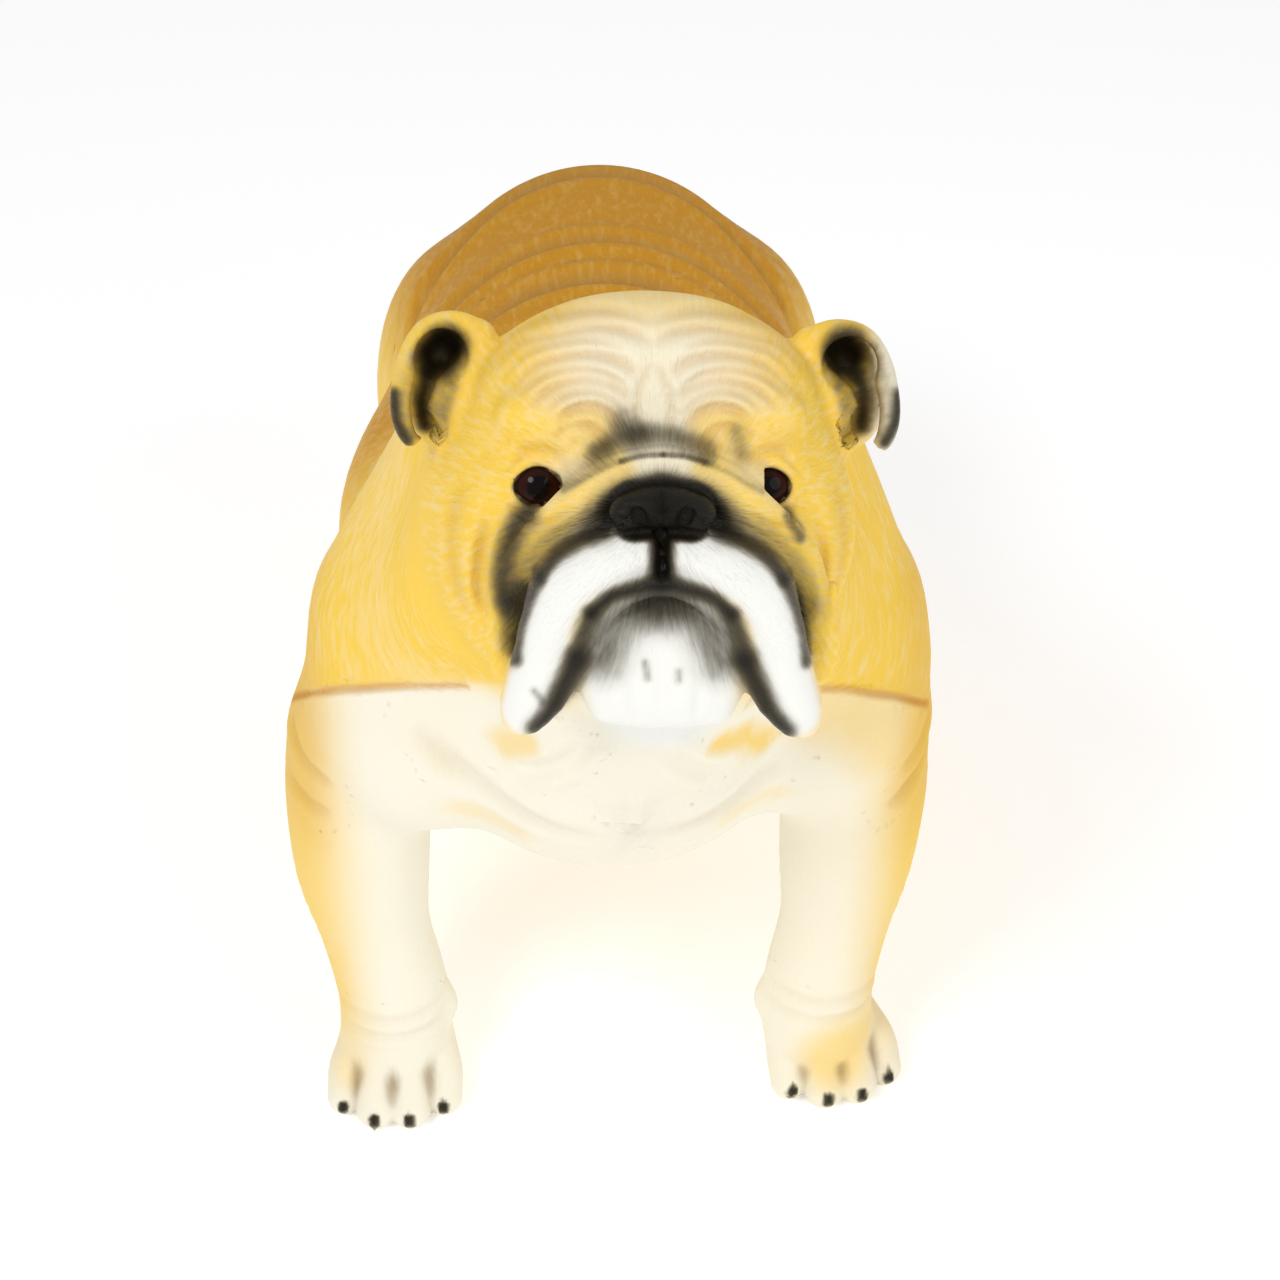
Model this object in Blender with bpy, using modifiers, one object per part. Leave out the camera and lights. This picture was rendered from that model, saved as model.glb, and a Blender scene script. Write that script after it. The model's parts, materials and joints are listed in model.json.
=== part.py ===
"""Life-size standing bulldog for the garden: one painted casting, with two glass eyes set in its sockets.

The figure is blocked out from balls and tapered limbs, remeshed into one skin, and pressed onto the soft
surface that blends those same forms, as clay is pressed over an armature. Skin folds are then drawn into it.
The dog faces -Y and stands on the ground plane, z = 0. Its own left is at +X.
"""

import math

import bmesh
import bpy
import numpy as np
from mathutils import Euler, Matrix, Vector

# Driving sizes, in metres
STATUE_HEIGHT = 0.538
EYE_DIAMETER = 0.029
SOCKET_CLEARANCE = 0.0004

# One unit of proportion. The figure's pose and carving are written in steps of its height, and so many steps
# make the whole height, so a step is a millimetre on the statue as built.
PROPORTION_STEPS = 538
UNIT = STATUE_HEIGHT / PROPORTION_STEPS

# How finely the skin is worked, in units of proportion
ROUGH_VOXEL = 6.0
SKIN_VOXEL = 3.6

# How far one press may move the rough skin, which has to rise out of the clefts between the forms
ROUGH_REACH = 16.0

# Triangles that the casting keeps on its face, which ends this far behind the eyes, and elsewhere
FACE_DEPTH = 62.0
FACE_TRIANGLES = 3700
BODY_TRIANGLES = 3300
EYE_SEGMENTS, EYE_RINGS = 24, 12

# The head is tipped up and turned a little to the dog's left. This is the point between its eyes.
HEAD_AT = (18.5, -113.0, 474.0)
HEAD_TIP = 26.0
HEAD_TURN = 3.0
HEAD_ROLL = 2.5

# The muzzle turns less than the skull does, about the tip of the nose
MUZZLE_TURN = 5.0
NOSE_TIP = -56.0

EYE_AT = (52.8, 12.0, 0.0)

# Sizes of the paws against the one that the toes are written for
FRONT_PAW, HIND_PAW = 0.92, 0.88

CAST_COLOUR = (0.87, 0.66, 0.26, 1.0)
EYE_COLOUR = (0.02, 0.008, 0.005, 1.0)
FAR = 1000.0


def clear_scene():
    for obj in list(bpy.data.objects):
        bpy.data.objects.remove(obj)


def head_matrix():
    """The head's frame: x to the dog's left, y out of the face's back, z to the crown."""
    turn = Matrix.Rotation(math.radians(HEAD_TURN), 4, "Z")
    tip = Matrix.Rotation(math.radians(-HEAD_TIP), 4, "X")
    roll = Matrix.Rotation(math.radians(HEAD_ROLL), 4, "Y")
    return Matrix.Translation(HEAD_AT) @ turn @ tip @ roll


def muzzle_matrix():
    """The head's frame, turned back a little about the tip of the nose."""
    tip = Matrix.Translation((0, NOSE_TIP, 0))
    return head_matrix() @ tip @ Matrix.Rotation(math.radians(-MUZZLE_TURN), 4, "Z") @ tip.inverted()


BODY = Matrix.Identity(4)
HEAD = head_matrix()
MUZZLE = muzzle_matrix()


def placed(frame, point):
    return np.array(frame @ Vector(point))


def smooth_line(points, steps=5):
    """Points along a smooth curve through the given ones, each a row of coordinates and radii."""
    rows = np.array(points, float)
    if len(rows) < 3:
        return rows
    ends = np.vstack([2 * rows[0] - rows[1], rows, 2 * rows[-1] - rows[-2]])
    line = []
    for i in range(1, len(ends) - 2):
        a, b, c, d = ends[i - 1 : i + 3]
        for t in np.arange(steps) / steps:
            line.append(
                0.5 * (2 * b + (c - a) * t + (2 * a - 5 * b + 4 * c - d) * t**2
                       + (3 * b - a - 3 * c + d) * t**3)
            )
    return np.vstack([line, rows[-1]])


class Ball:
    """An egg-shaped lump: its middle, its three half sizes and its turn about x, y and z in degrees."""

    def __init__(self, at, half, turn=(0, 0, 0), soft=20.0, frame=BODY, cut=False):
        self.at = placed(frame, at)
        self.half = np.array(half, float)
        own = Euler([math.radians(a) for a in turn]).to_matrix()
        self.axes = np.array(frame.to_3x3() @ own)
        self.soft, self.cut = soft, cut
        reach = np.abs(self.axes) @ self.half
        self.low, self.high = self.at - reach, self.at + reach

    def distance(self, points):
        q = (points - self.at) @ self.axes
        near = np.linalg.norm(q / self.half, axis=1)
        slope = np.linalg.norm(q / self.half**2, axis=1)
        return near * (near - 1) / np.maximum(slope, 1e-9)

    def block(self, sculpt):
        matrix = Matrix.Translation(self.at) @ Matrix(self.axes.tolist()).to_4x4()
        matrix = matrix @ Matrix.Diagonal((*self.half, 1))
        bmesh.ops.create_uvsphere(sculpt, u_segments=32, v_segments=16, radius=1, matrix=matrix)


class Limb:
    """A round limb or roll of skin along a smooth line of points, each with its radius."""

    def __init__(self, points, soft=12.0, frame=BODY, cut=False, steps=4):
        line = smooth_line(points, steps)
        self.line = np.array([placed(frame, p[:3]) for p in line])
        self.radius = line[:, 3]
        self.soft, self.cut = soft, cut
        self.low = (self.line - self.radius[:, None]).min(0)
        self.high = (self.line + self.radius[:, None]).max(0)

    def distance(self, points):
        found = np.full(len(points), FAR)
        for a, b, ra, rb in zip(self.line, self.line[1:], self.radius, self.radius[1:]):
            along = b - a
            share = np.clip((points - a) @ along / (along @ along), 0, 1)
            gap = np.linalg.norm(points - a - share[:, None] * along, axis=1)
            found = np.minimum(found, gap - (ra + share * (rb - ra)))
        return found

    def block(self, sculpt):
        for at, radius in zip(self.line, self.radius):
            matrix = Matrix.Translation(at)
            bmesh.ops.create_icosphere(sculpt, subdivisions=2, radius=radius, matrix=matrix)
        for a, b, ra, rb in zip(self.line, self.line[1:], self.radius, self.radius[1:]):
            along = Vector(b - a)
            matrix = Matrix.Translation((a + b) / 2) @ along.to_track_quat("Z", "Y").to_matrix().to_4x4()
            bmesh.ops.create_cone(
                sculpt, cap_ends=True, segments=16, radius1=ra, radius2=rb, depth=along.length, matrix=matrix
            )


class Fold:
    """A stroke drawn on the skin: a crease along a line, with the skin rolled up on one or both sides of it."""

    def __init__(self, points, depth, width, swell=0.0, frame=BODY, flat=False, steps=5):
        line = smooth_line(points, steps)
        self.flat = flat
        self.line = line if flat else np.array([placed(frame, p) for p in line])
        self.inverse = np.array(frame.inverted())
        self.depth, self.width, self.swell = depth, width, swell
        self.reach = 4.5 * width
        self.low, self.high = self.line.min(0) - self.reach, self.line.max(0) + self.reach

    def near_line(self, points):
        """Each point's distance from the stroke, and how full the stroke is there, which fades at its ends."""
        facing = 1.0
        if self.flat:
            points = points @ self.inverse[:3, :3].T + self.inverse[:3, 3]
            facing = np.clip((self.flat - points[:, 1]) / 20.0, 0, 1)
            points = points[:, [0, 2]]
        near = np.full(len(points), FAR)
        fade = np.zeros(len(points))
        count = len(self.line) - 1
        for i, (a, b) in enumerate(zip(self.line, self.line[1:])):
            along = b - a
            share = np.clip((points - a) @ along / (along @ along), 0, 1)
            gap = np.linalg.norm(points - a - share[:, None] * along, axis=1)
            closer = gap < near
            near[closer] = gap[closer]
            at = (i + share[closer]) / count
            fade[closer] = np.clip(4.0 * np.minimum(at, 1 - at), 0, 1)
        return near, np.sqrt(fade) * facing

    def height(self, points):
        """How far the skin rises at each point. Below zero it sinks."""
        near, fade = self.near_line(points)
        crease = -self.depth * np.exp(-((near / self.width) ** 1.5))
        roll = self.swell * np.exp(-(((near - 1.9 * self.width) / (1.1 * self.width)) ** 2))
        return fade * (crease + roll)

    def within(self, points):
        """Which points the stroke can reach."""
        if self.flat:
            points = (points @ self.inverse[:3, :3].T + self.inverse[:3, 3])[:, [0, 2]]
        return np.nonzero(((points > self.low) & (points < self.high)).all(1))[0]


def blocked(forms, name):
    """One mesh of the forms as plain balls and limbs, still passing through each other."""
    sculpt = bmesh.new()
    for form in forms:
        form.block(sculpt)
    mesh = bpy.data.meshes.new(name)
    sculpt.to_mesh(mesh)
    sculpt.free()
    return mesh


def soft_union(a, b, soft):
    blend = np.maximum(soft - np.abs(a - b), 0) / max(soft, 1e-6)
    return np.minimum(a, b) - blend**2 * soft / 4


def soft_cut(a, b, soft):
    blend = np.maximum(soft - np.abs(a + b), 0) / max(soft, 1e-6)
    return np.maximum(a, -b) + blend**2 * soft / 4


class Clay:
    """The statue's soft surface: forms blended in their order, then folds."""

    def __init__(self):
        self.forms, self.folds = [], []

    def add(self, *forms):
        self.forms.extend(forms)

    def draw(self, *folds):
        self.folds.extend(folds)

    def distance(self, points, carved=True, margin=30.0):
        found = np.full(len(points), FAR)
        for form in self.forms:
            if form.cut and not carved:
                continue
            grown = form.soft + margin
            inside = ((points > form.low - grown) & (points < form.high + grown)).all(1)
            at = np.nonzero(inside)[0]
            if not len(at):
                continue
            mix = soft_cut if form.cut else soft_union
            found[at] = mix(found[at], form.distance(points[at]), form.soft)
        for fold in self.folds if carved else []:
            at = fold.within(points)
            if len(at):
                found[at] -= fold.height(points[at])
        return found

    def press(self, points, rounds=4, carved=True, step=0.4, most=8.0):
        """Moves points along the surface's own slope until they lie on it."""
        corners = np.array([(1, -1, -1), (-1, -1, 1), (-1, 1, -1), (1, 1, 1)], float)
        for _ in range(rounds):
            values = [self.distance(points + step * c, carved) for c in corners]
            slope = sum(v[:, None] * c for v, c in zip(values, corners)) / (4 * step)
            length = np.maximum(np.linalg.norm(slope, axis=1), 0.3)
            move = np.clip(sum(values) / 4 / length, -most, most)
            points = points - move[:, None] * slope / length[:, None]
        return points

    def block_out(self):
        return blocked([form for form in self.forms if not form.cut], "blocked_out")


def mirrored(point):
    return (-point[0], *point[1:])


def both_sides(make, *rows, **settings):
    """The same form at the dog's left and right, from points written for its left."""
    yield make(*rows, **settings)
    if make is Ball:
        at, half, *turn = rows
        turned = [(t[0], -t[1], -t[2]) for t in turn]
        yield Ball(mirrored(at), half, *turned, **settings)
    else:
        points, *more = rows
        yield make([mirrored(p) for p in points], *more, **settings)


def add_trunk(clay):
    clay.add(
        Ball((0, 145, 292), (153, 184, 100), soft=10),
        Ball((0, -2, 262), (98, 84, 82), soft=26),
        Ball((0, 245, 284), (114, 150, 86), soft=50),
        Ball((0, 300, 314), (102, 140, 78), soft=50),
        Ball((0, 392, 282), (104, 98, 102), soft=50),
        Ball((0, 70, 335), (108, 110, 66), soft=45),
    )
    clay.add(
        Ball((-104, 14, 272), (60, 78, 80), (0, -8, 0), soft=24),
        Ball((111, 20, 276), (62, 78, 84), (0, 8, 0), soft=24),
    )


def add_front_leg(clay, side, inset, paw_at, paw_turn):
    leg = [
        (side * (133 - 0.4 * inset), 14, 242, 44),
        (side * (140 - 0.6 * inset), 16, 200, 41),
        (side * (141 - inset), 13, 152, 38),
        (side * (136 - inset), 8, 108, 31.5),
        (side * (128 - inset), 2, 68, 31.5),
        (side * (127 - inset), -2, 40, 32),
    ]
    clay.add(Limb(leg, soft=16))
    add_paw(clay, paw_at, paw_turn, FRONT_PAW)


def add_hind_leg(clay, side):
    clay.add(Ball((side * 88, 372, 240), (56, 92, 98), (0, side * 6, 0), soft=36))
    clay.add(Ball((side * 108, 340, 176), (42, 58, 58), (-20, 0, 0), soft=28))
    shank = [
        (side * 112, 348, 150, 42),
        (side * 108, 396, 118, 33),
        (side * 105, 430, 94, 28),
        (side * 104, 432, 64, 27),
        (side * 104, 424, 34, 28),
    ]
    clay.add(Limb(shank, soft=22))
    add_paw(clay, (side * 104, 402, 0), side * 6, HIND_PAW)


def add_paw(clay, at, turn, size):
    """A paw with four toes and their claws, pointing to -Y before its turn."""
    place = Matrix.Translation(at) @ Matrix.Rotation(math.radians(turn), 4, "Z")
    clay.add(Ball((0, 4 * size, 20 * size), (34 * size, 34 * size, 24 * size), soft=16 * size, frame=place))
    for x, y, r in ((-29, -20, 12.0), (-10, -31, 13.0), (10, -31, 13.0), (29, -20, 12.0)):
        toe = [
            (0.78 * x, y + 32, 31, r),
            (1.02 * x, y + 9, 23, r + 0.5),
            (1.06 * x, y - 6, 11, r),
        ]
        clay.add(Limb([[size * c for c in p] for p in toe], soft=4 * size, frame=place))
        claw = [
            (1.08 * x, y - 15, 13, 4.2),
            (1.10 * x, y - 20, 8, 2.6),
        ]
        clay.add(Limb([[size * c for c in p] for p in claw], soft=1.5 * size, frame=place))


def add_wrist_pad(clay, side, at):
    clay.add(Ball(at, (6, 8, 10), (0, side * 10, 0), soft=8))


def add_tail(clay):
    clay.add(Limb([(0, 474, 318, 26), (2, 498, 296, 19), (7, 508, 272, 14), (12, 504, 254, 9)], soft=14))


def add_neck(clay):
    clay.add(Limb([(0, 75, 318, 102), (5, 20, 342, 98), (12, -30, 384, 88)], soft=34))
    clay.add(Limb([(4, -40, 300, 60), (10, -70, 350, 58)], soft=40))
    clay.add(
        Limb([(-60, -2, 438, 42), (-72, 5, 402, 47), (-88, 5, 366, 50), (-104, 5, 335, 50)], soft=24),
        Limb([(82, 15, 425, 44), (91, 12, 394, 47), (99, 8, 366, 50), (110, 5, 335, 50)], soft=24),
        Limb([(-60, -50, 432, 32), (-68, -46, 395, 36), (-76, -34, 360, 40), (-80, -18, 328, 42)], soft=24),
        Limb([(78, -42, 405, 30), (82, -38, 370, 36), (84, -24, 332, 42)], soft=24),
    )


def add_head(clay):
    clay.add(
        Ball((0, 80, 20), (92, 80, 67), soft=24, frame=HEAD),
        Ball((0, 40, 40), (74, 40, 43), soft=26, frame=HEAD),
        Ball((0, 70, -62), (84, 70, 46), soft=26, frame=HEAD),
        Ball((0, 30, -84), (54, 52, 26), soft=14, frame=HEAD),
    )
    clay.add(*both_sides(Ball, (56, 56, -24), (46, 58, 58), soft=20, frame=HEAD))
    clay.add(*both_sides(Ball, (44, 10, 28), (28, 18, 15), (0, -14, 0), soft=12, frame=HEAD))
    clay.add(*both_sides(Ball, (54, 19, 1), (23, 19, 17), soft=8, frame=HEAD))


def add_muzzle(clay):
    clay.add(
        Ball((0, 2, -36), (64, 44, 42), soft=14, frame=MUZZLE),
        Ball((0, -6, 3), (48, 36, 21), soft=12, frame=MUZZLE),
    )
    roll = [
        (0, -34, 13, 9),
        (15, -34, 11, 9.5),
        (28, -31, 4, 10),
        (39.5, -25, -6.5, 10.5),
        (50, -18, -18, 11),
        (60, -11, -31, 11.5),
        (68, -5, -45, 11),
        (72, 0, -58, 10.5),
        (74, 4, -72, 9.5),
        (73, 8, -86, 7.5),
    ]
    clay.add(*both_sides(Limb, roll, soft=5, frame=MUZZLE, steps=2))
    clay.add(
        Ball((0, -30, 1), (23, 15, 12), soft=8, frame=MUZZLE),
        Ball((0, -46, -4), (20, 13, 10), soft=3, frame=MUZZLE),
        Ball((0, -18, -73), (44, 33, 35), soft=5, frame=MUZZLE),
    )
    clay.add(*both_sides(Ball, (16, -47, -7), (8, 9.5, 8), soft=2.5, frame=MUZZLE))
    for x, r in ((9, 8), (25, 8)):
        lump = [
            (x, 0.3 * x - 39, -76, r - 2),
            (1.05 * x, 0.4 * x - 42, -87, r),
            (x, 0.3 * x - 37, -97, r - 1),
        ]
        clay.add(*both_sides(Limb, lump, soft=12, frame=MUZZLE))
    lip = [
        (0, -49, -38, 5),
        (12, -50, -41, 5.5),
        (22, -47, -47, 6),
        (33, -42, -60, 6.5),
        (41, -35, -78, 6.5),
        (50, -28, -96, 6),
        (60, -21, -107, 5),
    ]
    clay.add(*both_sides(Limb, lip, soft=4, frame=MUZZLE, steps=2))
    clay.add(*both_sides(Ball, (38, -30, -39), (26, 19, 18), (0, 38, 0), soft=6, frame=MUZZLE))
    flew = [
        (8, -45, -25, 9.5),
        (24, -45, -30, 13),
        (38, -38, -41, 14),
        (47, -31, -56, 15),
        (51, -26, -71, 14.5),
        (56, -22, -86, 14),
        (62, -19, -98, 12.5),
        (65, -17, -105, 9),
    ]
    clay.add(*both_sides(Limb, flew, soft=4, frame=MUZZLE, steps=2))
    clay.add(*both_sides(Ball, (10.5, -57, -7.5), (3.6, 8, 5), (0, 30, 0), soft=1.5, frame=MUZZLE, cut=True))


def add_eyelids(clay):
    """Lids along the opening's edge, which stand on the eyeball, open 24 wide and 19 high."""
    reach = EYE_DIAMETER / UNIT / 2 + 1.0
    for side in (-1, 1):
        for height, thick in ((12.2, 3.2), (-11.2, 3.0)):
            lid = []
            for share in np.linspace(-1, 1, 7):
                x, z = 14.6 * share, height * (1 - share**2)
                y = -math.sqrt(reach**2 - x**2 - z**2)
                lid.append((side * (EYE_AT[0] + x), EYE_AT[1] + y, EYE_AT[2] + z, thick))
            clay.add(Limb(lid, soft=3, frame=HEAD, steps=2))
        opening = (side * EYE_AT[0], EYE_AT[1] - 16, EYE_AT[2])
        clay.add(Ball(opening, (12.2, 16, 9.2), soft=1.0, frame=HEAD, cut=True))


def add_ear(clay, side, drop):
    """A rose ear: a cupped flap rolled over at the top and outside, hollow to the front, with folds inside."""

    def place(*rows):
        return [(side * x, y, z - drop, *more) for x, y, z, *more in rows]

    def hollow(at, half):
        clay.add(Ball(place(at)[0], half, soft=3, cut=True, frame=HEAD))

    clay.add(Ball(place((97, 66, 49))[0], (22, 22, 31), (0, side * -8, 0), soft=12, frame=HEAD))
    rim = place(
        (80, 57, 70, 8),
        (92, 50, 75, 7),
        (104, 46, 72, 6.5),
        (112, 43, 60, 6),
        (115.5, 42, 44, 6),
        (115.5, 41, 33, 5.8),
        (113.5, 41, 25, 5),
        (110.5, 42, 20, 3.8),
    )
    clay.add(Limb(rim, soft=6, frame=HEAD))
    hollow((98, 48, 60), (13, 26, 14))
    hollow((103, 42, 38), (9, 20, 19))
    fold = place((85, 62, 54, 6), (91, 56, 47, 7.5), (97, 51, 37, 7), (101, 48, 27, 5.5), (103, 47, 21, 4))
    clay.add(Limb(fold, soft=6, frame=HEAD))


def draw_back_folds(clay):
    for y, z, widest, depth in ((389, 388, 72, 4.5), (292, 395, 55, 4.5), (240, 398, 42, 4.0), (196, 399, 30, 3.0)):
        turns = np.radians(np.linspace(-widest, widest, 9))
        bow = 1 - np.cos(turns)
        ring = np.column_stack((125 * np.sin(turns), y - 125 * bow, z - 108 * bow))
        clay.draw(Fold(clay.press(ring), depth, 7.0, swell=3.0))


def draw_face_folds(clay):
    face = dict(frame=HEAD, flat=60.0)
    arcs = (
        ([(45, 30), (38, 36), (29, 38), (21, 35), (15, 28)], 2.4, 3.0),
        ([(58, 38), (46, 46), (31, 49), (18, 46), (10, 39)], 2.4, 3.2),
        ([(66, 44), (56, 54), (44, 59), (30, 61), (16, 58), (7, 51)], 2.4, 3.4),
        ([(74, 52), (60, 65), (42, 70), (25, 73), (10, 71), (0, 66)], 2.2, 3.4),
    )
    for points, depth, width in arcs:
        clay.draw(*both_sides(Fold, points, depth, width, 1.4, **face))
    clay.draw(*both_sides(Fold, [(7, 25), (7, 40), (4, 54)], 2.0, 2.6, 1.0, **face))


def sculpt_bulldog():
    clay = Clay()
    add_trunk(clay)
    add_neck(clay)
    add_front_leg(clay, -1, 0, (-127, -8, 0), -2)
    add_front_leg(clay, 1, 8, (126, 3, 0), 10)
    add_wrist_pad(clay, -1, (-97, -2, 56))
    add_wrist_pad(clay, 1, (89, 2, 52))
    for side in (-1, 1):
        add_hind_leg(clay, side)
    add_tail(clay)
    add_head(clay)
    add_muzzle(clay)
    add_eyelids(clay)
    add_ear(clay, -1, 3)
    add_ear(clay, 1, 6)
    draw_back_folds(clay)
    draw_face_folds(clay)
    return clay


def apply_modifiers(obj):
    graph = bpy.context.evaluated_depsgraph_get()
    mesh = bpy.data.meshes.new_from_object(obj.evaluated_get(graph))
    obj.modifiers.clear()
    old, obj.data = obj.data, mesh
    bpy.data.meshes.remove(old)


def remesh(obj, voxel):
    modifier = obj.modifiers.new("one_skin", "REMESH")
    modifier.mode = "VOXEL"
    modifier.voxel_size = voxel
    apply_modifiers(obj)


def hollow_out(obj, form):
    """Cuts a hollow's plain ball out of the skin."""
    cutter = bpy.data.objects.new("hollow", blocked([form], "hollow"))
    bpy.context.scene.collection.objects.link(cutter)
    cut = obj.modifiers.new("hollow", "BOOLEAN")
    cut.operation = "DIFFERENCE"
    cut.solver = "EXACT"
    cut.object = cutter
    apply_modifiers(obj)
    bpy.data.objects.remove(cutter)


def press_skin(obj, clay, rounds, carved=True, most=8.0):
    points = np.empty(len(obj.data.vertices) * 3, np.float32)
    obj.data.vertices.foreach_get("co", points)
    pressed = clay.press(points.reshape(-1, 3).astype(float), rounds, carved, most=most)
    obj.data.vertices.foreach_set("co", pressed.astype(np.float32).ravel())
    obj.data.update()


def build_skin(clay, voxel):
    obj = bpy.data.objects.new("bulldog_casting", clay.block_out())
    bpy.context.scene.collection.objects.link(obj)
    for rounds in (6, 3):
        remesh(obj, ROUGH_VOXEL)
        press_skin(obj, clay, rounds, carved=False, most=ROUGH_REACH)
    for form in clay.forms:
        if form.cut:
            hollow_out(obj, form)
    remesh(obj, voxel)
    press_skin(obj, clay, 3)
    return obj


def lighten(obj, name, chosen, triangles):
    """Thins the skin where chosen(point) holds, down to about so many triangles there."""
    group = obj.vertex_groups.new(name=name)
    group.add([v.index for v in obj.data.vertices if chosen(v.co)], 1.0, "REPLACE")
    faces = obj.data.polygons
    total = sum(len(f.vertices) - 2 for f in faces)
    there = sum(len(f.vertices) - 2 for f in faces if chosen(f.center))
    modifier = obj.modifiers.new(name, "DECIMATE")
    modifier.vertex_group = name
    modifier.ratio = (total - there + triangles) / total
    apply_modifiers(obj)


def on_face(point):
    return (HEAD.inverted() @ point).y < FACE_DEPTH


def finish_casting(obj):
    """Thins the skin, cuts the feet flat and centres the statue over its feet, at its real size."""
    lighten(obj, "body", lambda point: not on_face(point), BODY_TRIANGLES)
    lighten(obj, "face", on_face, FACE_TRIANGLES)
    sculpt = bmesh.new()
    sculpt.from_mesh(obj.data)
    everything = sculpt.verts[:] + sculpt.edges[:] + sculpt.faces[:]
    cut = bmesh.ops.bisect_plane(
        sculpt, geom=everything, plane_co=(0, 0, 0), plane_no=(0, 0, -1), clear_outer=True
    )
    rims = [e for e in cut["geom_cut"] if isinstance(e, bmesh.types.BMEdge)]
    bmesh.ops.holes_fill(sculpt, edges=rims, sides=0)
    bmesh.ops.triangulate(sculpt, faces=sculpt.faces[:])
    low = np.min([v.co for v in sculpt.verts], axis=0)
    high = np.max([v.co for v in sculpt.verts], axis=0)
    middle = Matrix.Translation((-(low[0] + high[0]) / 2, -(low[1] + high[1]) / 2, 0))
    to_size = Matrix.Scale(UNIT, 4) @ middle
    sculpt.transform(to_size)
    sculpt.to_mesh(obj.data)
    sculpt.free()
    return to_size


def make_eyes(collection, to_size):
    material = plain_material("eye_glass", EYE_COLOUR, 0.08)
    places = {"eye_left": 1, "eye_right": -1}
    eyes = []
    for name, side in places.items():
        at = to_size @ HEAD @ Vector((side * EYE_AT[0], EYE_AT[1], EYE_AT[2]))
        bpy.ops.mesh.primitive_uv_sphere_add(
            segments=EYE_SEGMENTS, ring_count=EYE_RINGS, radius=EYE_DIAMETER / 2, location=at
        )
        eye = bpy.context.object
        eye.name = name
        eye.data.materials.append(material)
        eye.data.shade_smooth()
        move_to(eye, collection)
        eyes.append(eye)
    return eyes


def cut_socket(casting, eye, cutters):
    bpy.ops.mesh.primitive_uv_sphere_add(
        segments=EYE_SEGMENTS,
        ring_count=EYE_RINGS,
        radius=EYE_DIAMETER / 2 + SOCKET_CLEARANCE,
        location=eye.location,
    )
    cutter = bpy.context.object
    cutter.name = "socket_of_" + eye.name
    cutter.hide_render = True
    cutter.display_type = "WIRE"
    move_to(cutter, cutters)
    socket = casting.modifiers.new(cutter.name, "BOOLEAN")
    socket.operation = "DIFFERENCE"
    socket.solver = "EXACT"
    socket.object = cutter


def plain_material(name, colour, roughness):
    material = bpy.data.materials.new(name)
    material.use_nodes = True
    shader = material.node_tree.nodes["Principled BSDF"]
    shader.inputs["Base Color"].default_value = colour
    shader.inputs["Roughness"].default_value = roughness
    shader.inputs["Metallic"].default_value = 0.0
    material.diffuse_color = colour
    return material


def new_collection(name):
    collection = bpy.data.collections.new(name)
    bpy.context.scene.collection.children.link(collection)
    return collection


def move_to(obj, collection):
    for other in list(obj.users_collection):
        other.objects.unlink(obj)
    collection.objects.link(obj)


def main():
    clear_scene()
    statue = new_collection("garden_bulldog")
    cutters = new_collection("cutters")
    clay = sculpt_bulldog()
    casting = build_skin(clay, SKIN_VOXEL)
    move_to(casting, statue)
    to_size = finish_casting(casting)
    casting.data.materials.append(plain_material("painted_cast", CAST_COLOUR, 0.55))
    casting.data.shade_smooth()
    for eye in make_eyes(statue, to_size):
        cut_socket(casting, eye, cutters)


main()
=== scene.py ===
"""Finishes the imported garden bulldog: its painted casting with carved folds of skin, its eyes and the stage.

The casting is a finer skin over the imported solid. It is pressed onto the same balls, limbs and folds that the
solid was modelled from, and then carved further. Forms are written in units of one 538th of the statue's
height, from the axis of its front legs: x to the dog's left, y to its tail, z up.
"""

import json
import math

import bmesh
import bpy
import numpy as np
from mathutils import Euler, Matrix, Vector

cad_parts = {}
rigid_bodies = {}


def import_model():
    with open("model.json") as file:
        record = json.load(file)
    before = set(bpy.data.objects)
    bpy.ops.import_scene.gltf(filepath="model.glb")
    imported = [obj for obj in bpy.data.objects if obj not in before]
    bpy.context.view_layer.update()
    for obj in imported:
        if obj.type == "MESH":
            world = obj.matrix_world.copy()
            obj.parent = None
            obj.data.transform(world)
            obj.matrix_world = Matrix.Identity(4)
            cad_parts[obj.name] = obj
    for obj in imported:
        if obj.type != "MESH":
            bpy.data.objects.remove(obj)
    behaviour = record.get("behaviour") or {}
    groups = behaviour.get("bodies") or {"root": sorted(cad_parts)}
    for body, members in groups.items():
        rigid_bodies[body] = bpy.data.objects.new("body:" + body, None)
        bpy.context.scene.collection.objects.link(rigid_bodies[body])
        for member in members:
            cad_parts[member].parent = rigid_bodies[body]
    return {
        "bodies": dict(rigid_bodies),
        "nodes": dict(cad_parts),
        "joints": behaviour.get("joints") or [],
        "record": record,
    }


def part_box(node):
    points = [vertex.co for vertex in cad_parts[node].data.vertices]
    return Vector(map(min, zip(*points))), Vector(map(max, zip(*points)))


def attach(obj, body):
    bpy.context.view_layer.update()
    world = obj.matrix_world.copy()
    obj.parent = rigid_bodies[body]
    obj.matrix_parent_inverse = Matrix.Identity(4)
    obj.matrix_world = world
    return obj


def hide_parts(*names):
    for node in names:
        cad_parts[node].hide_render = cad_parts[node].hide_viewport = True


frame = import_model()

bl_info = {
    "name": "Garden Bulldog",
    "version": (1, 0, 0),
    "blender": (4, 5, 0),
    "location": "3D View > Sidebar > Garden Bulldog",
    "description": "Carves and paints a life-size bulldog garden statue",
    "category": "Object",
}

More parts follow.
